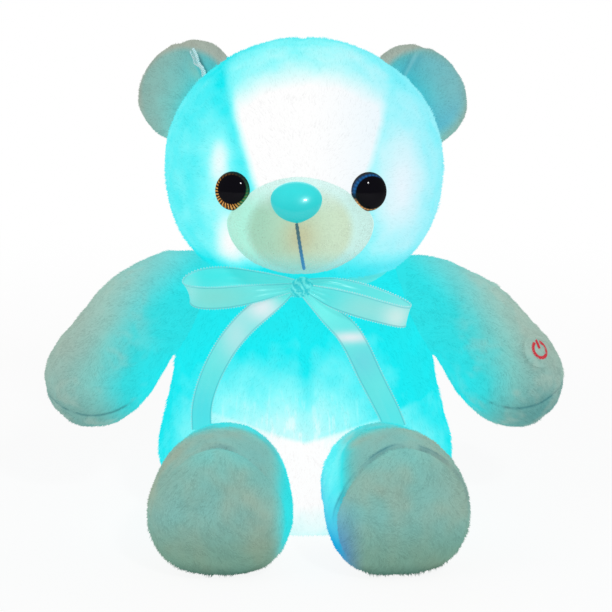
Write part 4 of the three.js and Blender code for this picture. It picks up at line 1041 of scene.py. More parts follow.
def meshPiece(name, co, faces, attributes=None, layout=None, smooth=True):
    made = bpy.data.meshes.new(name)
    made.from_pydata([tuple(p) for p in co], [], faces)
    for polygon in made.polygons:
        polygon.use_smooth = smooth
    for key, values in (attributes or {}).items():
        made.attributes.new(key, "FLOAT", "POINT").data.foreach_set("value", np.asarray(values, np.float32))
    if layout is not None:
        layer = made.uv_layers.new(name="OFBake")
        for loop in made.loops:
            layer.data[loop.index].uv = layout[loop.vertex_index]
    piece = bpy.data.objects.new(name, made)
    bpy.context.scene.collection.objects.link(piece)
    return piece


def tubeFaces(rings, sides, start=0):  # the faces between neighbouring rings of points, and the two ends
    made = []
    for i in range(rings - 1):
        here, above = start + i * sides, start + (i + 1) * sides
        for k in range(sides):
            after = (k + 1) % sides
            made.append((here + k, here + after, above + after, above + k))
    made.append(tuple(start + k for k in range(sides))[::-1])
    made.append(tuple(start + (rings - 1) * sides + k for k in range(sides)))
    return made


def stripFaces(count, wide):  # two layers of a grid of points, and the faces along their edges
    def at(side, i, k):
        return (side * count + i) * wide + k
    faces = []
    last, end = wide - 1, count - 1
    for i in range(end):
        for k in range(last):
            faces.append((at(0, i, k), at(0, i + 1, k), at(0, i + 1, k + 1), at(0, i, k + 1)))
            faces.append((at(1, i, k), at(1, i, k + 1), at(1, i + 1, k + 1), at(1, i + 1, k)))
        faces.append((at(0, i, 0), at(1, i, 0), at(1, i + 1, 0), at(0, i + 1, 0)))
        faces.append((at(0, i, last), at(0, i + 1, last), at(1, i + 1, last), at(1, i, last)))
    for k in range(last):
        faces.append((at(0, 0, k), at(0, 0, k + 1), at(1, 0, k + 1), at(1, 0, k)))
        faces.append((at(0, end, k), at(1, end, k), at(1, end, k + 1), at(0, end, k + 1)))
    return faces


def strip(name, stations, onCloth=True, folds=0.0):
    # each station: x, y, z, then the way across and the share of the width there
    count = 150
    rows, length = curveThrough(stations, count)
    centre, across, share = rows[:, :3], unit(rows[:, 3:6]), rows[:, 6]
    heading = unit(np.gradient(centre, axis=0))
    across = unit(across - heading * (across * heading).sum(1)[:, None])
    normal = np.cross(heading, across)
    columns = np.linspace(-1, 1, 13)
    half = ribbon["width"] / 2 * share
    grid = centre[:, None] + across[:, None] * (columns[None] * half[:, None])[..., None]
    pleat = folds * (1 - np.clip(share, 0, 1)) * 1.6
    grid = grid + normal[:, None] * (pleat[:, None] * np.sin(columns * 9.5)[None])[..., None]
    if onCloth:
        for i in range(count):
            for k in range(len(columns)):
                x, y, z = grid[i, k]
                grid[i, k, 1] = min(y, frontOf(torsoTree, x, z, 0) - ribbon["clear"])
        for _ in range(12):  # the weave is stiff, so it bridges small dips
            grid[1:-1] = 0.5 * grid[1:-1] + 0.25 * (grid[:-2] + grid[2:])
    lengthwise = np.gradient(grid, axis=0)
    crosswise = np.gradient(grid, axis=1)
    normal = unit(np.cross(lengthwise, crosswise).reshape(-1, 3)).reshape(grid.shape)
    thick = np.where(np.abs(columns) > 0.9, ribbon["cord"] * 1.1, ribbon["thick"] / 2)[None, :, None]
    sides = [grid + normal * thick, grid - normal * thick]
    co = np.concatenate([s.reshape(-1, 3) for s in sides]) * mm
    wide = len(columns)
    alongValue = np.repeat(np.linspace(0, length, count), wide)
    acrossValue = np.tile(columns, count)
    values = {"along": np.tile(alongValue, 2), "across": np.tile(acrossValue, 2)}
    layout = [(0.02 + side * 0.5 + 0.44 * k / (wide - 1), 0.02 + 0.96 * i / (count - 1))
              for side in (0, 1) for i in range(count) for k in range(wide)]
    piece = meshPiece(name, co, stripFaces(count, wide), values, layout)
    edges = edgeDots(name + "Dots", grid, normal, length)
    return piece, edges, length


def edgeDots(name, grid, normal, length):  # the tiny loops of thread along both edges
    count = int(length / ribbon["dot"])
    rise = np.array([(0.5, 0, 0), (-0.5, 0, 0), (0, 0.62, 0), (0, -0.3, 0), (0, 0, 0.34), (0, 0, -0.34)])
    shape = [(0, 2, 4), (2, 1, 4), (1, 3, 4), (3, 0, 4), (2, 0, 5), (1, 2, 5), (3, 1, 5), (0, 3, 5)]
    co, faces, layout = [], [], []
    for edge, inner, way in ((0, 1, -1), (-1, -2, 1)):
        line = grid[:, edge]
        for j in range(count):
            place = (j + 0.5) / count * (len(line) - 1)
            low = int(place)
            spot = line[low] * (1 - place + low) + line[min(low + 1, len(line) - 1)] * (place - low)
            out = unit((line[low] - grid[low, inner])[None])[0]
            up = normal[low, edge]
            on = np.cross(out, up)
            start = len(co)
            for a, b, c in rise:
                co.append((spot + on * a + out * (b + 0.2) + up * c) * mm)
                layout.append((0.05 + 0.9 * (j + 0.4 * a) / count,
                               0.3 + 0.4 * (way > 0) + 0.1 * b + 0.05 * c))
            for face in shape:
                faces.append(tuple(start + v for v in face))
    piece = meshPiece(name, co, faces, None, layout)
    turnOut(piece)
    return piece


satin = {"tone": (112, 236, 232), "deep": (62, 224, 228), "glow": 0.66}


def satinFinish(name, paintedLightAndShade):
    # the patches are painted highlights and painted shade on the satin, each as (colour, centre, spread,
    # strength), in mm
    finish = Finish(name, {"Roughness": 0.3, "Specular IOR Level": 0.5, "Anisotropic": 0.6,
                           "Emission Strength": 1.0, "Sheen Weight": 0.15})
    place = finish.place()
    across, along = finish.attribute("across"), finish.attribute("along")
    rib = (along * 9.0).sine() * 0.5 + 0.5
    warp = (across * 60.0).sine() * 0.5 + 0.5
    streak = finish.noise(60, 2, 0.6, place)
    deep = (streak * 0.6 + warp * 0.16 + rib * 0.1 - 0.1).clamped()
    made = finish.layers(colour(*satin["tone"]), (deep, satin["deep"]))
    for paintedTone, centre, spread, strength in paintedLightAndShade:
        spot = softSpot(finish, [v * mm for v in centre], [v * mm for v in spread], place)
        made = finish.layers(made, ((spot * strength * (0.82 + 0.18 * warp)).clamped(), paintedTone))
    made = finish.layers(made, (abs(across).step(0.84, 0.9) * 0.4, (40, 168, 184)),
                         (abs(across).step(0.93, 0.98) * 0.5, (150, 240, 240)))
    return finish.glowing(made, satin["glow"], Normal=finish.bump(rib * 0.5 + warp * 0.5, 0.00006, 0.5))


def dotFinish(name, tone=(186, 244, 246)):
    finish = Finish(name, {"Roughness": 0.6, "Emission Strength": 1.0})
    tone = finish.mix(finish.noise(900, 2, 0.5, finish.place()), colour(96, 222, 226), colour(*tone))
    return finish.glowing(tone, 0.6)


# each ribbon: its stations, its painted highlights and shade, and the node it stands for
bow = {
    "rightRibbonTail": {
        "node": "right_ribbon_tail", "held": "draped", "rests": ["torsoSkin"],
        "stations": [(-7, -59.5, 157, 0.55, 0, -0.83, 0.42), (-14, -59, 152.5, 0.62, 0, -0.78, 0.86),
                     (-24, -58, 144.5, 0.68, -0.25, -0.7, 1.04), (-35, -57, 134.5, 0.74, -0.2, -0.62, 1.04),
                     (-45, -56, 122, 0.82, -0.1, -0.5, 1), (-53, -56, 108, 0.9, 0.1, -0.34, 0.98),
                     (-58.5, -56, 94, 0.95, 0.1, -0.2, 0.94), (-61, -56, 82, 0.98, 0.1, -0.04, 0.92),
                     (-61, -55, 70, 0.98, 0, 0.06, 0.92)],
        "shine": [((240, 242, 246), (-25, -60, 145), (11, 30, 9), 0.95),
                  ((198, 234, 236), (-40, -60, 128), (10, 30, 15), 0.75),
                  ((70, 232, 224), (-12, -60, 154), (6, 30, 6), 0.8),
                  ((74, 222, 234), (-60, -60, 82), (14, 30, 18), 0.7)],
    },
    "leftRibbonTail": {
        "node": "left_ribbon_tail", "held": "draped", "rests": ["torsoSkin"],
        "stations": [(-1, -60, 156, 0.5, 0.2, 0.84, 0.4), (6, -59, 148.5, 0.55, 0.5, 0.75, 0.62),
                     (15, -58, 140, 0.62, 0.3, 0.72, 0.9), (25, -57, 130.5, 0.74, 0.05, 0.62, 1.08),
                     (32, -57, 119, 0.88, 0, 0.42, 1.12), (38, -57, 106, 0.9, 0, 0.38, 1.1),
                     (44, -57, 94, 0.92, 0, 0.36, 1.06), (50, -57, 82, 0.93, 0, 0.34, 1.04),
                     (54.5, -56, 71, 0.94, 0, 0.32, 1.02)],
        "shine": [((120, 250, 244), (12, -60, 144), (12, 30, 12), 0.8),
                  ((238, 240, 244), (28, -60, 126.5), (13, 30, 3.4), 1.0),
                  ((104, 214, 226), (35, -60, 112), (10, 30, 10), 0.7),
                  ((96, 232, 236), (50, -60, 80), (12, 30, 14), 0.6)],
    },
    "rightBowLoop": {
        "node": "right_bow_loop", "held": "folded", "rests": ["bowKnot"],
        "stations": [(-4, -55, 158, -0.1, 0, 1, 0.34), (-15, -54, 159.5, -0.15, 0, 1, 0.56),
                     (-30, -53.5, 160.4, -0.12, 0.2, 1, 0.84), (-48, -53, 161.6, -0.05, 0.25, 1, 1),
                     (-62, -53.5, 159.6, -0.25, 0.1, 0.95, 1.02), (-68.6, -57.5, 155, -0.42, 0, 0.9, 1.04),
                     (-63, -62, 151.6, -0.3, -0.05, 0.95, 1.04), (-49, -63.5, 151.4, -0.08, -0.05, 1, 1.02),
                     (-34, -62.5, 153, 0.02, 0, 1, 0.92), (-18, -60.5, 155, 0.1, 0, 1, 0.62),
                     (-5, -59, 157, 0.1, 0, 1, 0.36)],
        "shine": [((128, 218, 208), (-52, -63, 152), (22, 4, 9), 0.8),
                  ((44, 232, 232), (-50, -53, 163), (26, 3.4, 8), 0.9),
                  ((168, 240, 236), (-66, -60, 157), (5, 6, 9), 0.6)],
    },
    "leftBowLoop": {
        "node": "left_bow_loop", "held": "folded", "rests": ["bowKnot"],
        "stations": [(3, -55, 159, 0.2, 0, 1, 0.34), (18, -54.5, 157, 0.25, 0.2, 1, 0.7),
                     (36, -53.5, 151, 0.28, 0.2, 0.96, 1), (52, -54.5, 145, 0.24, 0.2, 0.97, 1.02),
                     (61.5, -57, 140, 0.1, 0, 1, 1), (58, -61, 139.4, 0.2, -0.1, 0.98, 1),
                     (44, -63, 143.2, 0.3, -0.15, 0.95, 1.06), (31, -63, 147, 0.34, -0.15, 0.94, 1.08),
                     (17, -62, 151, 0.34, -0.1, 0.94, 0.9), (3, -59.4, 156, 0.3, 0, 0.95, 0.4)],
        "shine": [((150, 226, 222), (36, -63, 145), (18, 5, 10), 0.8),
                  ((222, 240, 236), (54, -61, 140), (9, 6, 9), 0.85),
                  ((74, 228, 228), (14, -61, 152), (9, 6, 8), 0.7)],
    },
}
ribbonPieces = {}
for name, part in bow.items():
    piece, dots, length = strip(name, part["stations"], folds=1.0)
    dress(piece, satinFinish(name + "Satin", part["shine"]))
    dress(dots, dotFinish(name + "Edge", (246, 254, 254) if name == "leftBowLoop" else (186, 244, 246)))
    ribbonPieces[name] = (piece, dots, length, part)
    print("ribbon", name, "length", round(length, 1), "mm")


neckLine = {"half": (53.6, 44.6), "high": 156.3, "lean": 0.32}


def collarStation(turn):
    x, y = neckLine["half"][0] * math.cos(turn), neckLine["half"][1] * math.sin(turn)
    z = neckLine["high"] - 3.2 * math.sin(turn) ** 2 + 0.5 * math.sin(3 * turn)
    lean = neckLine["lean"]
    return (x, y, z, -lean * math.cos(turn), -lean * math.sin(turn), 1, 0.8 + 0.06 * math.sin(5 * turn))


turns = np.radians(np.linspace(-86, 266, 37))
collar, collarDots, collarLength = strip("neckRibbon", [collarStation(t) for t in turns], onCloth=False)
dress(collar, satinFinish("neckRibbonSatin", [((60, 226, 226), (0, -50, 156), (60, 20, 20), 0.6)]))
dress(collarDots, dotFinish("neckRibbonEdge"))
ribbonPieces["neckRibbon"] = (collar, collarDots, collarLength,
                              {"node": "neck_ribbon", "held": "gathered", "rests": ["torsoSkin"]})
knot = {"centre": (-1.5, -59.4, 157), "half": (6.4, 4.2, 5.6), "lean": 0.35}


def knotPlace(turn, share):
    up = np.pi * (share - 0.5)
    crease = 1 + 0.1 * np.sin(turn * 7 + 3 * up) * np.cos(up) + 0.06 * np.sin(turn * 3 - 5 * up)
    x = knot["half"][0] * np.cos(up) * np.cos(turn) * crease
    y = knot["half"][1] * np.cos(up) * np.sin(turn) * crease
    z = knot["half"][2] * np.sin(up) * (1 + 0.08 * np.sin(turn * 5))
    atX, atY, atZ = knot["centre"]
    return np.stack([atX + x + knot["lean"] * z, atY + y, atZ + z - knot["lean"] * 0.6 * x], axis=1) * mm


def knotFinish():
    finish = Finish("knotSatin", {"Roughness": 0.35, "Emission Strength": 1.0, "Specular IOR Level": 0.5})
    place = finish.place()
    x, y, z = finish.parts(place)
    pleats = ((x + z * 0.7) * 1500.0 + finish.noise(220, 3, 0.6, place) * 16.0).sine() * 0.5 + 0.5
    # painted highlight and shade: the pleats are coloured lighter on their ridges and darker in their folds
    tone = finish.mix(pleats, colour(44, 206, 214), colour(110, 240, 238))
    return finish.glowing(tone, 0.6, Normal=finish.bump(pleats, 0.0004, 0.8))


forms["bowKnot"] = softForm("bowKnot", knotPlace, 72, 40)
dress(forms["bowKnot"], knotFinish())
print("bow tied")


# glitter eyes, a moulded nose and a stitched mouth; where two values stand, they are for the left and right
eye = {
    "across": {1: 40.4, -1: 39.6}, "high": 214, "sunk": 1.6, "size": 1.1, "front": 0.72, "tucked": 0.935,
    "pupilOff": {1: (0.5, -0.2), -1: (1.2, 1.5)}, "pupilEdge": {1: 0.82, -1: 0.72}, "rim": 10.3,
    # each row: the radius, and how far forward
    "rows": [(0, -13), (2.5, -13), (2.5, -3.4), (9, -3.2), (10.1, -2.4), (10.3, -1.2), (10.1, 0.2),
             (9.5, 1.9), (8.2, 3.2), (6.3, 4.4), (4.2, 5.2), (2, 5.6), (0, 5.7)],
}


def eyeFrame(side):  # the eye's place on the head, the way it looks, and the way to its right
    half, deep = headShape["halfWidth"], headShape["halfDepth"]
    across = eye["across"][side] / half
    at = np.array([side * eye["across"][side], -deep * math.sqrt(1 - across * across), eye["high"]])
    out = np.array([side * across / half * eye["front"], at[1] / deep ** 2, 0.0])
    out = out / np.linalg.norm(out)
    right = np.cross([0, 0, 1], out)
    return at - out * eye["sunk"], out, right / np.linalg.norm(right)


def eyePlace(side):
    at, out, right = eyeFrame(side)

    def place(turn, share):
        radius, high, _ = rowAt(smoothRows([(r, h, 0) for r, h in eye["rows"]]), share)
        radius = radius * eye["size"]
        co = at + out * high[:, None] + right * (radius * np.cos(turn) * eye["tucked"])[:, None]
        co[:, 2] += radius * np.sin(turn)
        return turnedHead(co) * mm
    return place


def markEye(piece, side):  # how far each point is from the eye's middle and the pupil's, and its turn
    at, out, right = [turnedHead(v[None])[0] for v in eyeFrame(side)]
    co = pointsOf(piece) / mm - at
    across, high = co @ right, co[:, 2]
    offX, offZ = eye["pupilOff"][side]
    full = eye["rim"] * eye["size"]
    values = {"reach": np.hypot(across, high) / full, "pupil": np.hypot(across - offX, high - offZ) / full,
              "spinX": across / full, "spinZ": high / full}
    for key, value in values.items():
        piece.data.attributes.new(key, "FLOAT", "POINT").data.foreach_set("value", value.astype(np.float32))


def eyeFinish(name, side):
    finish = Finish(name, {"Coat Weight": 0.24, "Coat Roughness": 0.02, "Roughness": 0.4,
                           "Specular IOR Level": 0.0, "Emission Strength": 1.0})
    place = finish.place()
    reach, pupil = finish.attribute("reach"), finish.attribute("pupil")
    x, z = finish.attribute("spinX"), finish.attribute("spinZ")
    turn = finish.node("Math", {"operation": "ARCTAN2"}, {0: z, 1: x})
    rays = ((turn * 30.0 + finish.noise(400, 2, 0.5, place) * 5.0).sine() * 0.5 + 0.5).step(0.3, 0.75)
    fleck = finish.noise(2600, 2, 0.7, place)
    gold = finish.mix((rays * 0.9 + fleck * 0.5 - 0.3).clamped(), colour(22, 10, 4), colour(226, 146, 52))
    gold = finish.layers(gold, (fleck.step(0.54, 0.64) * rays, (255, 232, 160)))
    if side > 0:  # the ring shines blue above and amber below
        amber = finish.layers(gold, (0.4, (255, 190, 130)))
        gold = finish.mix((z + x * 0.2).step(-0.66, -0.4), amber, colour(6, 34, 46))
        blue = (rays * 0.26 + fleck * 0.9 - 0.1).clamped()
        blue = finish.mix(blue, colour(6, 22, 52), colour(36, 118, 190))
        gold = finish.mix((z * 0.85 - x * 0.5).step(0.2, 0.6), gold, blue)
    else:  # brown above, gold below and green on the inner side
        gold = finish.layers(gold, ((z * 0.9 + x * 0.3).step(0.0, 0.6) * 0.85, (54, 34, 14)),
                             ((x - z * 0.2).step(0.4, 0.8) * 0.85, (16, 116, 72)))
    start = eye["pupilEdge"][side]
    tone = finish.mix(pupil.step(start, start + 0.06), colour(3, 2, 9), gold)
    tone = finish.layers(tone, (reach.step(0.86, 0.97), (22, 22, 18)))
    return finish.glowing(tone, pupil.step(start, start + 0.05) * (1.0 - reach.step(0.95, 1.0)) * 0.6)


nose = {"centre": (-1, -92.2, 211.4), "half": (14.4, 7.6, 11.4), "broader": 0.13, "leanForward": 0.26}


def nosePlace(turn, share):  # broad above the middle and blunt below
    lift = -np.cos(share * math.pi)
    girth = np.sqrt(np.clip(1 - lift * lift, 0, 1))
    upper = np.clip(np.sin(turn), 0, 1)
    lower = np.clip(-np.sin(turn), 0, 1)
    x = nose["half"][0] * girth * np.cos(turn) * (1 + nose["broader"] * upper - nose["broader"] * lower)
    z = nose["half"][2] * girth * np.sin(turn)
    y = -nose["half"][1] * lift + nose["leanForward"] * z
    atX, atY, atZ = nose["centre"]
    return turnedHead(np.stack([x + atX, y + atY, z + atZ], axis=1)) * mm


def noseFinish():
    finish = Finish("noseGloss", {"Roughness": 0.3, "Coat Weight": 0.55, "Coat Roughness": 0.07,
                                  "Emission Strength": 1.0})
    place = finish.place()
    x, y, z = finish.parts(place)
    # painted shade: the nose is darker below and lighter on top
    tone = finish.mix(z.step(0.203, 0.222), colour(4, 204, 206), colour(40, 230, 232))
    tone = finish.layers(tone, (finish.noise(120, 2, 0.5, place) * 0.3, (20, 206, 210)))
    return finish.glowing(tone, 0.62, Normal=finish.bump(finish.noise(900, 2, 0.5, place), 0.00005, 0.3))


face = {}
for side, name in ((1, "left"), (-1, "right")):
    face[name + "Eye"] = softForm(name + "Eye", eyePlace(side), 64, 56)
    markEye(face[name + "Eye"], side)
    dress(face[name + "Eye"], eyeFinish(name + "EyeGlitter", side))
face["noseDome"] = softForm("noseDome", nosePlace, 72, 40)
dress(face["noseDome"], noseFinish())


def cord(name, points, radius, finish, sides=8, plies=0, twist=2.2):  # a thread through points, in mm
    rows, length = curveThrough([(*p, 0) for p in points], max(int(len(points) * 12), 24))
    centre = rows[:, :3]
    heading = unit(np.gradient(centre, axis=0))
    side = unit(np.cross(heading, np.array([0.13, -0.9, 0.41])))
    up = np.cross(heading, side)
    count = len(centre)
    at = np.linspace(0, length, count)
    co, layout = [], []
    for i in range(count):
        ends = math.sqrt(max(1 - max(0, 1 - min(at[i], length - at[i]) / radius) ** 2, 0.02))
        for k in range(sides):
            turn = 2 * math.pi * k / sides
            swell = 1 + 0.16 * math.cos(plies * turn + at[i] * twist) if plies else 1
            out = side[i] * math.cos(turn) + up[i] * math.sin(turn)
            co.append((centre[i] + radius * swell * ends * out) * mm)
            layout.append((0.02 + 0.96 * i / count, 0.02 + 0.9 * k / sides))
    piece = meshPiece(name, co, tubeFaces(count, sides), None, layout)
    turnOut(piece)
    dress(piece, finish)
    return piece


def threadFinish(name, tone, dark, glow, foot=None):  # foot is the colour that a thread fades to downwards
    finish = Finish(name, {"Roughness": 0.55, "Sheen Weight": 0.3, "Emission Strength": 1.0})
    place = finish.place()
    x, y, z = finish.parts(place)
    ply = ((z - x * 0.8 + y * 0.3) * 5200.0).sine() * 0.5 + 0.5
    shade = (ply * 0.7 + finish.noise(800, 2, 0.6, place) * 0.3).clamped()
    made = finish.mix(shade, colour(*dark), colour(*tone))
    if foot:
        made = finish.layers(made, ((1.0 - z.step(0.174, 0.196)) * 0.9, foot))
    return finish.glowing(made, glow)


mouth = {
    "top": (-4.1, 200.3), "run": (4.3, -28.5), "points": 12, "ahead": 0.5, "radius": 0.95,
    "tone": (76, 128, 136), "dark": (30, 70, 82), "foot": (20, 138, 200), "glow": 0.5,
}
muzzleTree = treeOf(forms["muzzlePad"])
stitchLine = []
for i in range(mouth["points"]):
    share = i / (mouth["points"] - 1)
    x, z = (mouth["top"][k] + mouth["run"][k] * share for k in range(2))
    stitchLine.append((x, frontOf(muzzleTree, x, z) - mouth["ahead"], z))
blueThread = threadFinish("blueThread", mouth["tone"], mouth["dark"], mouth["glow"], mouth["foot"])
face["mouthStitch"] = cord("mouthStitch", stitchLine, mouth["radius"], blueThread, 10, 2)
print("face made")


# the press patch on the left paw and the mark stitched on it
pressAxis = unit(np.array([patch["axis"]]))[0]
pressAcross = np.cross([0, 0, 1], pressAxis)
pressAcross = pressAcross / np.linalg.norm(pressAcross)
pressUp = np.cross(pressAxis, pressAcross)


def onPaw(across, up):  # the paw's skin under a place on the patch, in mm
    start = (np.array(patch["centre"]) + pressAcross * across + pressUp * up + pressAxis * 20) * mm
    found = armTree.ray_cast(tuple(start), tuple(-pressAxis), 0.04)[0]
    return np.array(found) / mm if found is not None else start / mm - pressAxis * 20


def sinkPaw():  # a hollow for the patch, so it can go in
    piece = forms["leftArmSkin"]
    co = pointsOf(piece) / mm
    off = co - np.array(patch["centre"])
    reach = np.hypot(off @ pressAcross, off @ pressUp)
    edge = patch["radius"] + patch["margin"]
    near = (reach < edge) & (off @ pressAxis > -9)
    depth = np.clip((edge - reach) / patch["margin"], 0, 1) * near
    putPoints(piece, (co - pressAxis * (patch["hollow"] * depth)[:, None]) * mm)


def patchPlace(turn, share):
    radius, lift, _ = rowAt(smoothRows([(r, h, 0) for r, h in patch["rows"]]), share)
    co = np.zeros((len(turn), 3))
    for i in range(len(turn)):
        top = patchTop(radius[i] * math.cos(turn[i]), radius[i] * math.sin(turn[i]))
        co[i] = top + pressAxis * (lift[i] + 0.3)
    return co * mm


patchCache = {}


def patchTop(across, up):
    key = (round(across, 3), round(up, 3))
    if key not in patchCache:
        patchCache[key] = onPaw(across, up)
    return patchCache[key]


forms["pressPatch"] = softForm("pressPatch", patchPlace, 48, 28)
dress(forms["pressPatch"], plush["armCloth"])


def overPatch(co):  # no hairs on its underside
    off = co - np.array(patch["centre"])
    return off @ pressAxis < -2.4


patchHair = dict(hair["arm"], count=1500, length=2.2)
pile("pressPatchPile", forms["pressPatch"], "paw_button", patchHair, combArm(1), plush["armPile"],
     overPatch, 301)


def markEnds():  # both ends of each stitch, on the patch
    radius, width = patch["markRadius"], patch["markWidth"]
    ringCount, barCount = patch["markStitches"]
    gap = patch["markGap"]
    ends = []
    for j in range(ringCount):
        turn = math.radians(90 + gap + (360 - 2 * gap) * j / (ringCount - 1))
        ends.append(((radius - width / 2) * np.array([math.cos(turn), math.sin(turn)]),
                     (radius + width / 2) * np.array([math.cos(turn + 0.05), math.sin(turn + 0.05)])))
    for j in range(barCount):
        up = 0.6 + 5.6 * j / (barCount - 1)
        ends.append((np.array([-width / 2, up]), np.array([width / 2, up + 0.18])))
    return ends


def satinStitch(name, finish):  # each stitch is a short rounded thread across the mark's band
    co, faces, layout = [], [], []
    rng = np.random.default_rng(7)
    ends = markEnds()
    sides, steps = 6, 5
    for j, (a, b) in enumerate(ends):
        a = a + rng.normal(size=2) * 0.05
        b = b + rng.normal(size=2) * 0.05
        faces += tubeFaces(steps, sides, len(co))
        way = pressAcross * (b - a)[0] + pressUp * (b - a)[1]
        way = way / np.linalg.norm(way)
        cross = np.cross(way, pressAxis)
        for i in range(steps):
            share = i / (steps - 1)
            lift = 0.75 + 0.42 * math.sin(math.pi * share)
            thick = 0.24 * (0.35 + 0.65 * math.sin(math.pi * (0.12 + 0.76 * share)))
            base = patchTop(*(a + (b - a) * share)) + pressAxis * lift
            for k in range(sides):
                turn = 2 * math.pi * k / sides
                co.append((base + cross * thick * math.cos(turn) + pressAxis * thick * math.sin(turn)) * mm)
                layout.append((0.02 + 0.96 * (j + 0.8 * k / sides) / len(ends), 0.05 + 0.9 * share))
    piece = meshPiece(name, co, faces, None, layout)
    turnOut(piece)
    dress(piece, finish)
    return piece


face["powerMark"] = satinStitch("powerMark", threadFinish("redThread", (226, 34, 56), (170, 14, 36), 0.6))
sinkPaw()


# white thread in the right ear's pinch, and the stitches that hold it
earTree = {name: treeOf(forms[name + "EarPad"]) for name in ("left", "right")}


def earThread(name, side, ends, seed, wander, radius):
    rng = np.random.default_rng(seed)
    line = []
    (x0, z0), (x1, z1) = ends
    for i in range(9):
        share = i / 8
        x = x0 + (x1 - x0) * share + wander * rng.normal()
        z = z0 + (z1 - z0) * share
        y = frontOf(earTree[side], x, z)
        if y is not None:
            line.append((x, y - 1.9 + (0.6 if i % 2 else 0), z))
    return cord(name, line, radius, whiteThread, 6, 2)


whiteThread = threadFinish("whiteThread", (236, 250, 250), (120, 190, 196), 0.4)
threads = [earThread("rightEarThread", "right", ((-66.9, 293), (-56.4, 269)), 1, 0.45, 0.95),
           earThread("rightEarThreadSecond", "right", ((-68.4, 291), (-58.4, 271)), 2, 0.7, 0.7),
           earThread("leftEarThread", "left", ((50.8, 281.5), (52.2, 268.5)), 3, 0.4, 0.5)]
print("patch, mark and ear threads made")


# the zip in the back: two tapes, their teeth, the slider and its pull
zipLine = {
    "middle": (-148.8, 50), "radius": 215.2, "low": 25, "high": 111.4, "wide": 9.4, "thick": 0.9,
    "tooth": 1.55, "toothRadius": (0.32, 0.42, 0.42, 0.56, 0.3), "slider": 101.6,
}


def zipPoint(z, out=0.0):  # a place on the back's arc, and the turn of the way outwards
    middleY, middleZ = zipLine["middle"]
    turn = math.asin((z - middleZ) / zipLine["radius"])
    radius = zipLine["radius"] + out
    return np.array([0, middleY + radius * math.cos(turn), middleZ + radius * math.sin(turn)]), turn


def zipTape(name, side):
    count, wide = 120, 9
    columns = np.linspace(0.5, zipLine["wide"], wide)
    grid = np.zeros((2, count, wide, 3))
    along = np.linspace(zipLine["low"], zipLine["high"], count)
    for i, z in enumerate(along):
        for layer, out in ((0, 0.0), (1, -zipLine["thick"])):
            point, turn = zipPoint(z, out)
            grid[layer, i] = point
            grid[layer, i, :, 0] = side * columns
            sag = 0.9 * (columns / zipLine["wide"]) ** 3
            grid[layer, i, :, 1] -= sag * math.cos(turn)

    def at(layer, i, k):
        return (layer * count + i) * wide + k
    faces = []
    for i in range(count - 1):
        for k in range(wide - 1):
            faces.append((at(0, i, k), at(0, i, k + 1), at(0, i + 1, k + 1), at(0, i + 1, k)))
            faces.append((at(1, i, k), at(1, i + 1, k), at(1, i + 1, k + 1), at(1, i, k + 1)))
        for k in (0, wide - 1):
            faces.append((at(0, i, k), at(0, i + 1, k), at(1, i + 1, k), at(1, i, k)))
    for i in (0, count - 1):
        for k in range(wide - 1):
            faces.append((at(0, i, k), at(1, i, k), at(1, i, k + 1), at(0, i, k + 1)))
    layout = [(0.03 + 0.45 * layer + 0.4 * k / wide, 0.03 + 0.94 * i / count)
              for layer in (0, 1) for i in range(count) for k in range(wide)]
    piece = meshPiece(name, grid.reshape(-1, 3) * mm, faces, None, layout)
    turnOut(piece)
    return piece


def zipTeeth(name, side):  # a coil's turns: each a short bar that bulges at the middle of the zip
    co, faces, layout = [], [], []
    count = int((zipLine["high"] - zipLine["low"] - 2) / zipLine["tooth"])
    sides, steps = 6, len(zipLine["toothRadius"])
    for j in range(count):
        z = zipLine["low"] + 1 + (j + (0.25 if side > 0 else 0.75)) * zipLine["tooth"]
        faces += tubeFaces(steps, sides, len(co))
        for i, radius in enumerate(zipLine["toothRadius"]):
            share = i / (steps - 1)
            x = side * (3.1 - 3.25 * share)
            point, turn = zipPoint(z, 0.55 + 0.3 * math.sin(math.pi * share))
            for k in range(sides):
                angle = 2 * math.pi * k / sides
                out = radius * math.cos(angle)
                up = radius * math.sin(angle)
                co.append(np.array([x, point[1] + out * math.cos(turn) - up * math.sin(turn),
                                    point[2] + out * math.sin(turn) + up * math.cos(turn)]) * mm)
                layout.append((0.05 + 0.9 * (i + 0.8 * k / sides) / steps, 0.02 + 0.96 * j / count))
    piece = meshPiece(name, co, faces, None, layout)
    turnOut(piece)
    return piece


def zipAxes(z):  # a place on the zip, and the ways up and outwards there
    base, turn = zipPoint(z)
    return base, np.array([0, -math.sin(turn), math.cos(turn)]), np.array([0, math.cos(turn), math.sin(turn)])


def zipPlate(name, outline, hole, low, high, bevel=0.35):
    # a flat plate with a hole, drawn in across and up, thick from low to high, at the slider's place
    base, up, out = zipAxes(zipLine["slider"])
    count = len(outline)
    co = [(base + np.array([x, 0, 0]) + up * y + out * lift) * mm
          for ring, lift in ((outline, low), (outline, high), (hole, high), (hole, low)) for x, y in ring]
    faces = []
    for level in range(4):
        above = (level + 1) % 4
        for k in range(count):
            after = (k + 1) % count
            faces.append((level * count + k, level * count + after, above * count + after, above * count + k))
    piece = meshPiece(name, co, faces)
    turnOut(piece)
    bevelled = piece.modifiers.new("edge", "BEVEL")
    bevelled.width = bevel * mm
    bevelled.segments = 2
    bevelled.limit_method = "ANGLE"
    bevelled.angle_limit = math.radians(50)
    bpy.ops.object.modifier_apply(modifier="edge")
    bpy.ops.object.shade_smooth_by_angle(angle=math.radians(40))
    return piece


def ovalLine(count, wide, tall, centre=(0, 0), power=1.0, taper=0.0):
    line = []
    for k in range(count):
        turn = 2 * math.pi * k / count
        c, s = math.cos(turn), math.sin(turn)
        x = wide * math.copysign(abs(c) ** power, c)
        y = tall * math.copysign(abs(s) ** power, s)
        line.append((centre[0] + x * (1 - taper * y / tall), centre[1] + y))
    return line


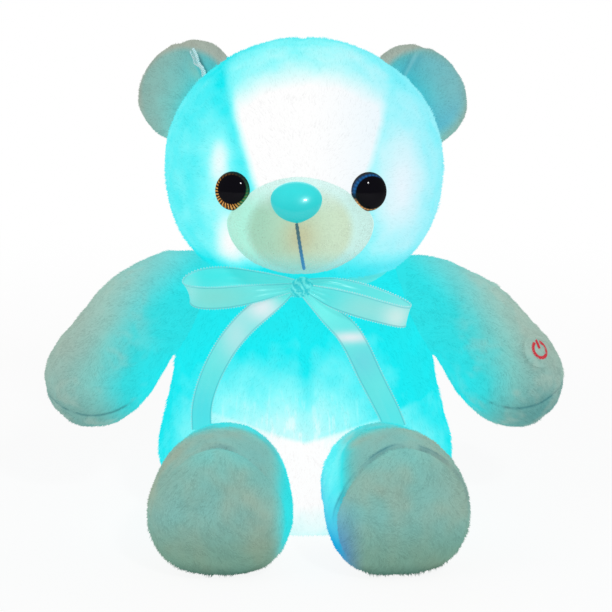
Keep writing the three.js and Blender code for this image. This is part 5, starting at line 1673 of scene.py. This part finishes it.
def weaveFinish(name, tone, dark, glow):
    finish = Finish(name, {"Roughness": 0.8, "Sheen Weight": 0.2, "Emission Strength": 1.0})
    place = finish.place()
    x, y, z = finish.parts(place)
    rib = (x * 7800.0).sine() * 0.5 + 0.5
    weft = (z * 5600.0 + (x * 3900.0).sine() * 1.4).sine() * 0.5 + 0.5
    weave = rib * 0.5 + weft * 0.5
    shade = (weave * 0.8 + finish.noise(140, 3, 0.6, place) * 0.3 - 0.1).clamped()
    made = finish.mix(shade, colour(*dark), colour(*tone))
    return finish.glowing(made, glow, Normal=finish.bump(weave, 0.00015, 0.7))


def metalFinish(name, tone, dark, rough=0.28):
    finish = Finish(name, {"Metallic": 0.85, "Emission Strength": 1.0})
    place = finish.place()
    patchy = finish.noise(260, 4, 0.65, place)
    fine = finish.noise(2400, 2, 0.6, place)
    made = finish.mix(patchy, colour(*dark), colour(*tone))
    polish = patchy * 0.2 + fine * 0.08 + rough - 0.1
    # painted glow: the metal gives off about a fifth of its colour by itself
    return finish.surface(Base_Color=made, Emission_Color=finish.mix(0.78, made, (0, 0, 0, 1)),
                          Roughness=polish, Normal=finish.bump(fine, 0.00003, 0.4))


tapeCloth = weaveFinish("tapeWeave", (104, 238, 242), (48, 204, 214), 0.72)
toothFinish = weaveFinish("toothNylon", (206, 252, 252), (112, 222, 228), 0.6)
nickel = metalFinish("nickel", (232, 240, 242), (180, 190, 194), 0.34)
zips = {}
for side, name in ((1, "left"), (-1, "right")):
    zips[name + "ZipTape"] = zipTape(name + "ZipTape", side)
    zips[name + "ZipTeeth"] = zipTeeth(name + "ZipTeeth", side)
    dress(zips[name + "ZipTape"], tapeCloth)
    dress(zips[name + "ZipTeeth"], toothFinish)
# each plate: its outline, its hole, how far out its two sides are, and the bevel
plates = {
    "zipSlider": (ovalLine(36, 3.5, 4.9, power=0.72, taper=-0.16), ovalLine(36, 0.5, 0.5, (0, -3.4)),
                  1.0, 2.1),
    "zipSliderBack": (ovalLine(36, 3.4, 4.7, power=0.72, taper=-0.16), ovalLine(36, 0.5, 0.5, (0, -3.3)),
                      -1.1, -0.2),
    "zipSliderNeck": (ovalLine(24, 0.9, 1.2, (0, 3.1)), ovalLine(24, 0.3, 0.3, (0, 3.1)), -0.4, 1.4, 0.1),
    "zipPull": (ovalLine(48, 3.6, 9.6, (0, -9.2), 0.6, 0.16), ovalLine(48, 1.5, 5.4, (0, -10.4), 0.8, 0.1),
                2.7, 3.9),
}
# each wire: its points across, up and out from the slider's place, and its radius
wires = {
    "zipLug": ([(0, -1.6, 1.8), (0, -1.2, 3.1), (0, 0, 3.75), (0, 1.6, 3.7), (0, 2.8, 3.0),
                (0, 3.2, 1.8)], 0.55),
    "zipPullRing": ([(-1.5, -1.6, 3.0), (-1.7, 0, 3.0), (-1.2, 1.3, 3.0), (0, 1.6, 3.0), (1.2, 1.3, 3.0),
                     (1.7, 0, 3.0), (1.5, -1.6, 3.0)], 0.45),
}
base, zipUp, zipOut = zipAxes(zipLine["slider"])
for name in ("zipSlider", "zipLug", "zipSliderBack", "zipSliderNeck", "zipPull", "zipPullRing"):
    if name in plates:
        zips[name] = zipPlate(name, *plates[name])
        dress(zips[name], nickel)
    else:
        points, radius = wires[name]
        line = [tuple(base + np.array([x, 0, 0]) + zipUp * up + zipOut * out) for x, up, out in points]
        zips[name] = cord(name, line, radius, nickel, 10)
print("zip made")


# the lamps, the switch, the battery pack and the wires inside keep their own shapes
def plainFinish(name, tone, dark, grain, rough, glow=0.0):
    finish = Finish(name, {"Emission Strength": 1.0})
    place = finish.place()
    cloud = finish.noise(grain * 0.3, 3, 0.6, place)
    fine = finish.noise(grain * 6, 2, 0.6, place)
    made = finish.mix((cloud * 0.7 + fine * 0.3).clamped(), colour(*dark), colour(*tone))
    polish = fine * 0.2 + rough - 0.1
    return finish.glowing(made, glow, Roughness=polish, Normal=finish.bump(fine, 0.00004, 0.4))


def boardFinish(name):  # green lacquer over copper tracks
    finish = Finish(name, {"Roughness": 0.4})
    place = finish.place()
    x, y, z = finish.parts(place)
    tracks = ((x * 2600.0).sine() * (z * 2100.0).sine()).step(0.2, 0.3)
    pads = ((x * 1500.0 + 0.7).sine() * (z * 1500.0).sine()).step(0.86, 0.9)
    made = finish.layers(colour(18, 92, 52), (tracks, (40, 128, 66)), (pads, (206, 170, 96)),
                         (finish.noise(500, 2, 0.6, place) * 0.3, (10, 70, 40)))
    return finish.surface(Base_Color=made, Metallic=pads * 0.8, Normal=finish.bump(tracks, 0.00004, 0.6))


def cellFinish(name):  # a printed sleeve with a bare metal cap and foot
    finish = Finish(name, {"Roughness": 0.32})
    place = finish.place()
    x, y, z = finish.parts(place)
    band = (z * 420.0).sine().step(0.3, 0.4)
    made = finish.layers(colour(30, 34, 40), (band, (196, 154, 60)),
                         (finish.noise(600, 2, 0.6, place) * 0.25, (90, 94, 100)))
    return finish.surface(Base_Color=made, Metallic=band * 0.5 + 0.2)


# each: the finish, and the nodes that wear it
inside = [
    (plainFinish("milkyLampCover", (214, 250, 252), (150, 240, 246), 200, 0.35, 0.85),
     ["head_lamp_cover", "body_lamp_cover"]),
    (plainFinish("lampChip", (255, 255, 255), (200, 250, 255), 300, 0.3, 0.95),
     ["head_lamp_led", "body_lamp_led"]),
    (boardFinish("circuitBoard"), ["head_lamp_board", "body_lamp_board", "control_board"]),
    (plainFinish("whitePlastic", (236, 238, 236), (204, 208, 206), 300, 0.42),
     ["nose_washer", "left_eye_washer", "right_eye_washer", "switch_housing", "switch_button"]),
    (plainFinish("casePlastic", (228, 232, 232), (190, 196, 198), 240, 0.5),
     ["battery_case", "battery_door"]),
    (cellFinish("cellSleeve"), ["first_cell", "second_cell", "third_cell"]),
    (metalFinish("springSteel", (204, 206, 208), (140, 144, 148), 0.3),
     ["lower_contact_strip", "upper_contact_strip", "door_screw", "switch_spring"]),
    (plainFinish("wireJacket", (206, 54, 48), (150, 30, 30), 500, 0.4),
     ["body_lamp_lead", "neck_lead", "head_lamp_lead", "switch_lead", "switch_lead_arm"]),
    (weaveFinish("pouchCloth", (226, 236, 236), (176, 196, 198), 0.1), ["battery_pouch"]),
]
for material, names in inside:
    for name in names:
        dress(nodes[name], material)
print("inner parts finished")


# how each piece hangs on its body, and the nodes it stands for
stand = {
    "torsoSkin": ("torso", ["torso_cover", "torso_stuffing"]),
    "headSkin": ("head", ["head_cover", "head_stuffing"]),
    "muzzlePad": ("head", ["muzzle"]),
    "bowKnot": ("torso", ["bow_knot"]),
    "pressPatch": ("paw_button", ["press_patch"]),
}
for side in ("left", "right"):
    stand[side + "ArmSkin"] = (side + "_arm", [side + "_arm_cover", side + "_arm_stuffing"])
    stand[side + "LegSkin"] = (side + "_leg", [side + "_leg_cover", side + "_leg_stuffing"])
    stand[side + "SolePad"] = (side + "_leg", [side + "_sole"])
    stand[side + "EarPad"] = ("head", [side + "_ear"])
for name, (body, replaced) in stand.items():
    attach(forms[name], body)
    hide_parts(*replaced)
for name, body, replaced in (("leftEye", "head", "left_eye"), ("rightEye", "head", "right_eye"),
                             ("noseDome", "head", "nose"), ("mouthStitch", "head", "mouth_stitch"),
                             ("powerMark", "paw_button", "power_mark")):
    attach(face[name], body)
    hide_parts(replaced)
for thread in threads:
    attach(thread, "head")
for name, body, replaced in (("leftZipTape", "torso", "left_zip_tape"), ("leftZipTeeth", "torso", None),
                             ("rightZipTape", "torso", "right_zip_tape"), ("rightZipTeeth", "torso", None),
                             ("zipSlider", "zip_slider", "zip_slider"), ("zipLug", "zip_slider", None),
                             ("zipSliderBack", "zip_slider", None), ("zipSliderNeck", "zip_slider", None),
                             ("zipPull", "zip_pull", "zip_pull"), ("zipPullRing", "zip_pull", None)):
    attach(zips[name], body)
    if replaced:
        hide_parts(replaced)
for name, (piece, dots, length, part) in ribbonPieces.items():
    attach(piece, "torso")
    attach(dots, "torso")
    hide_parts(part["node"])
    length * mm
print("pieces hung on their bodies")
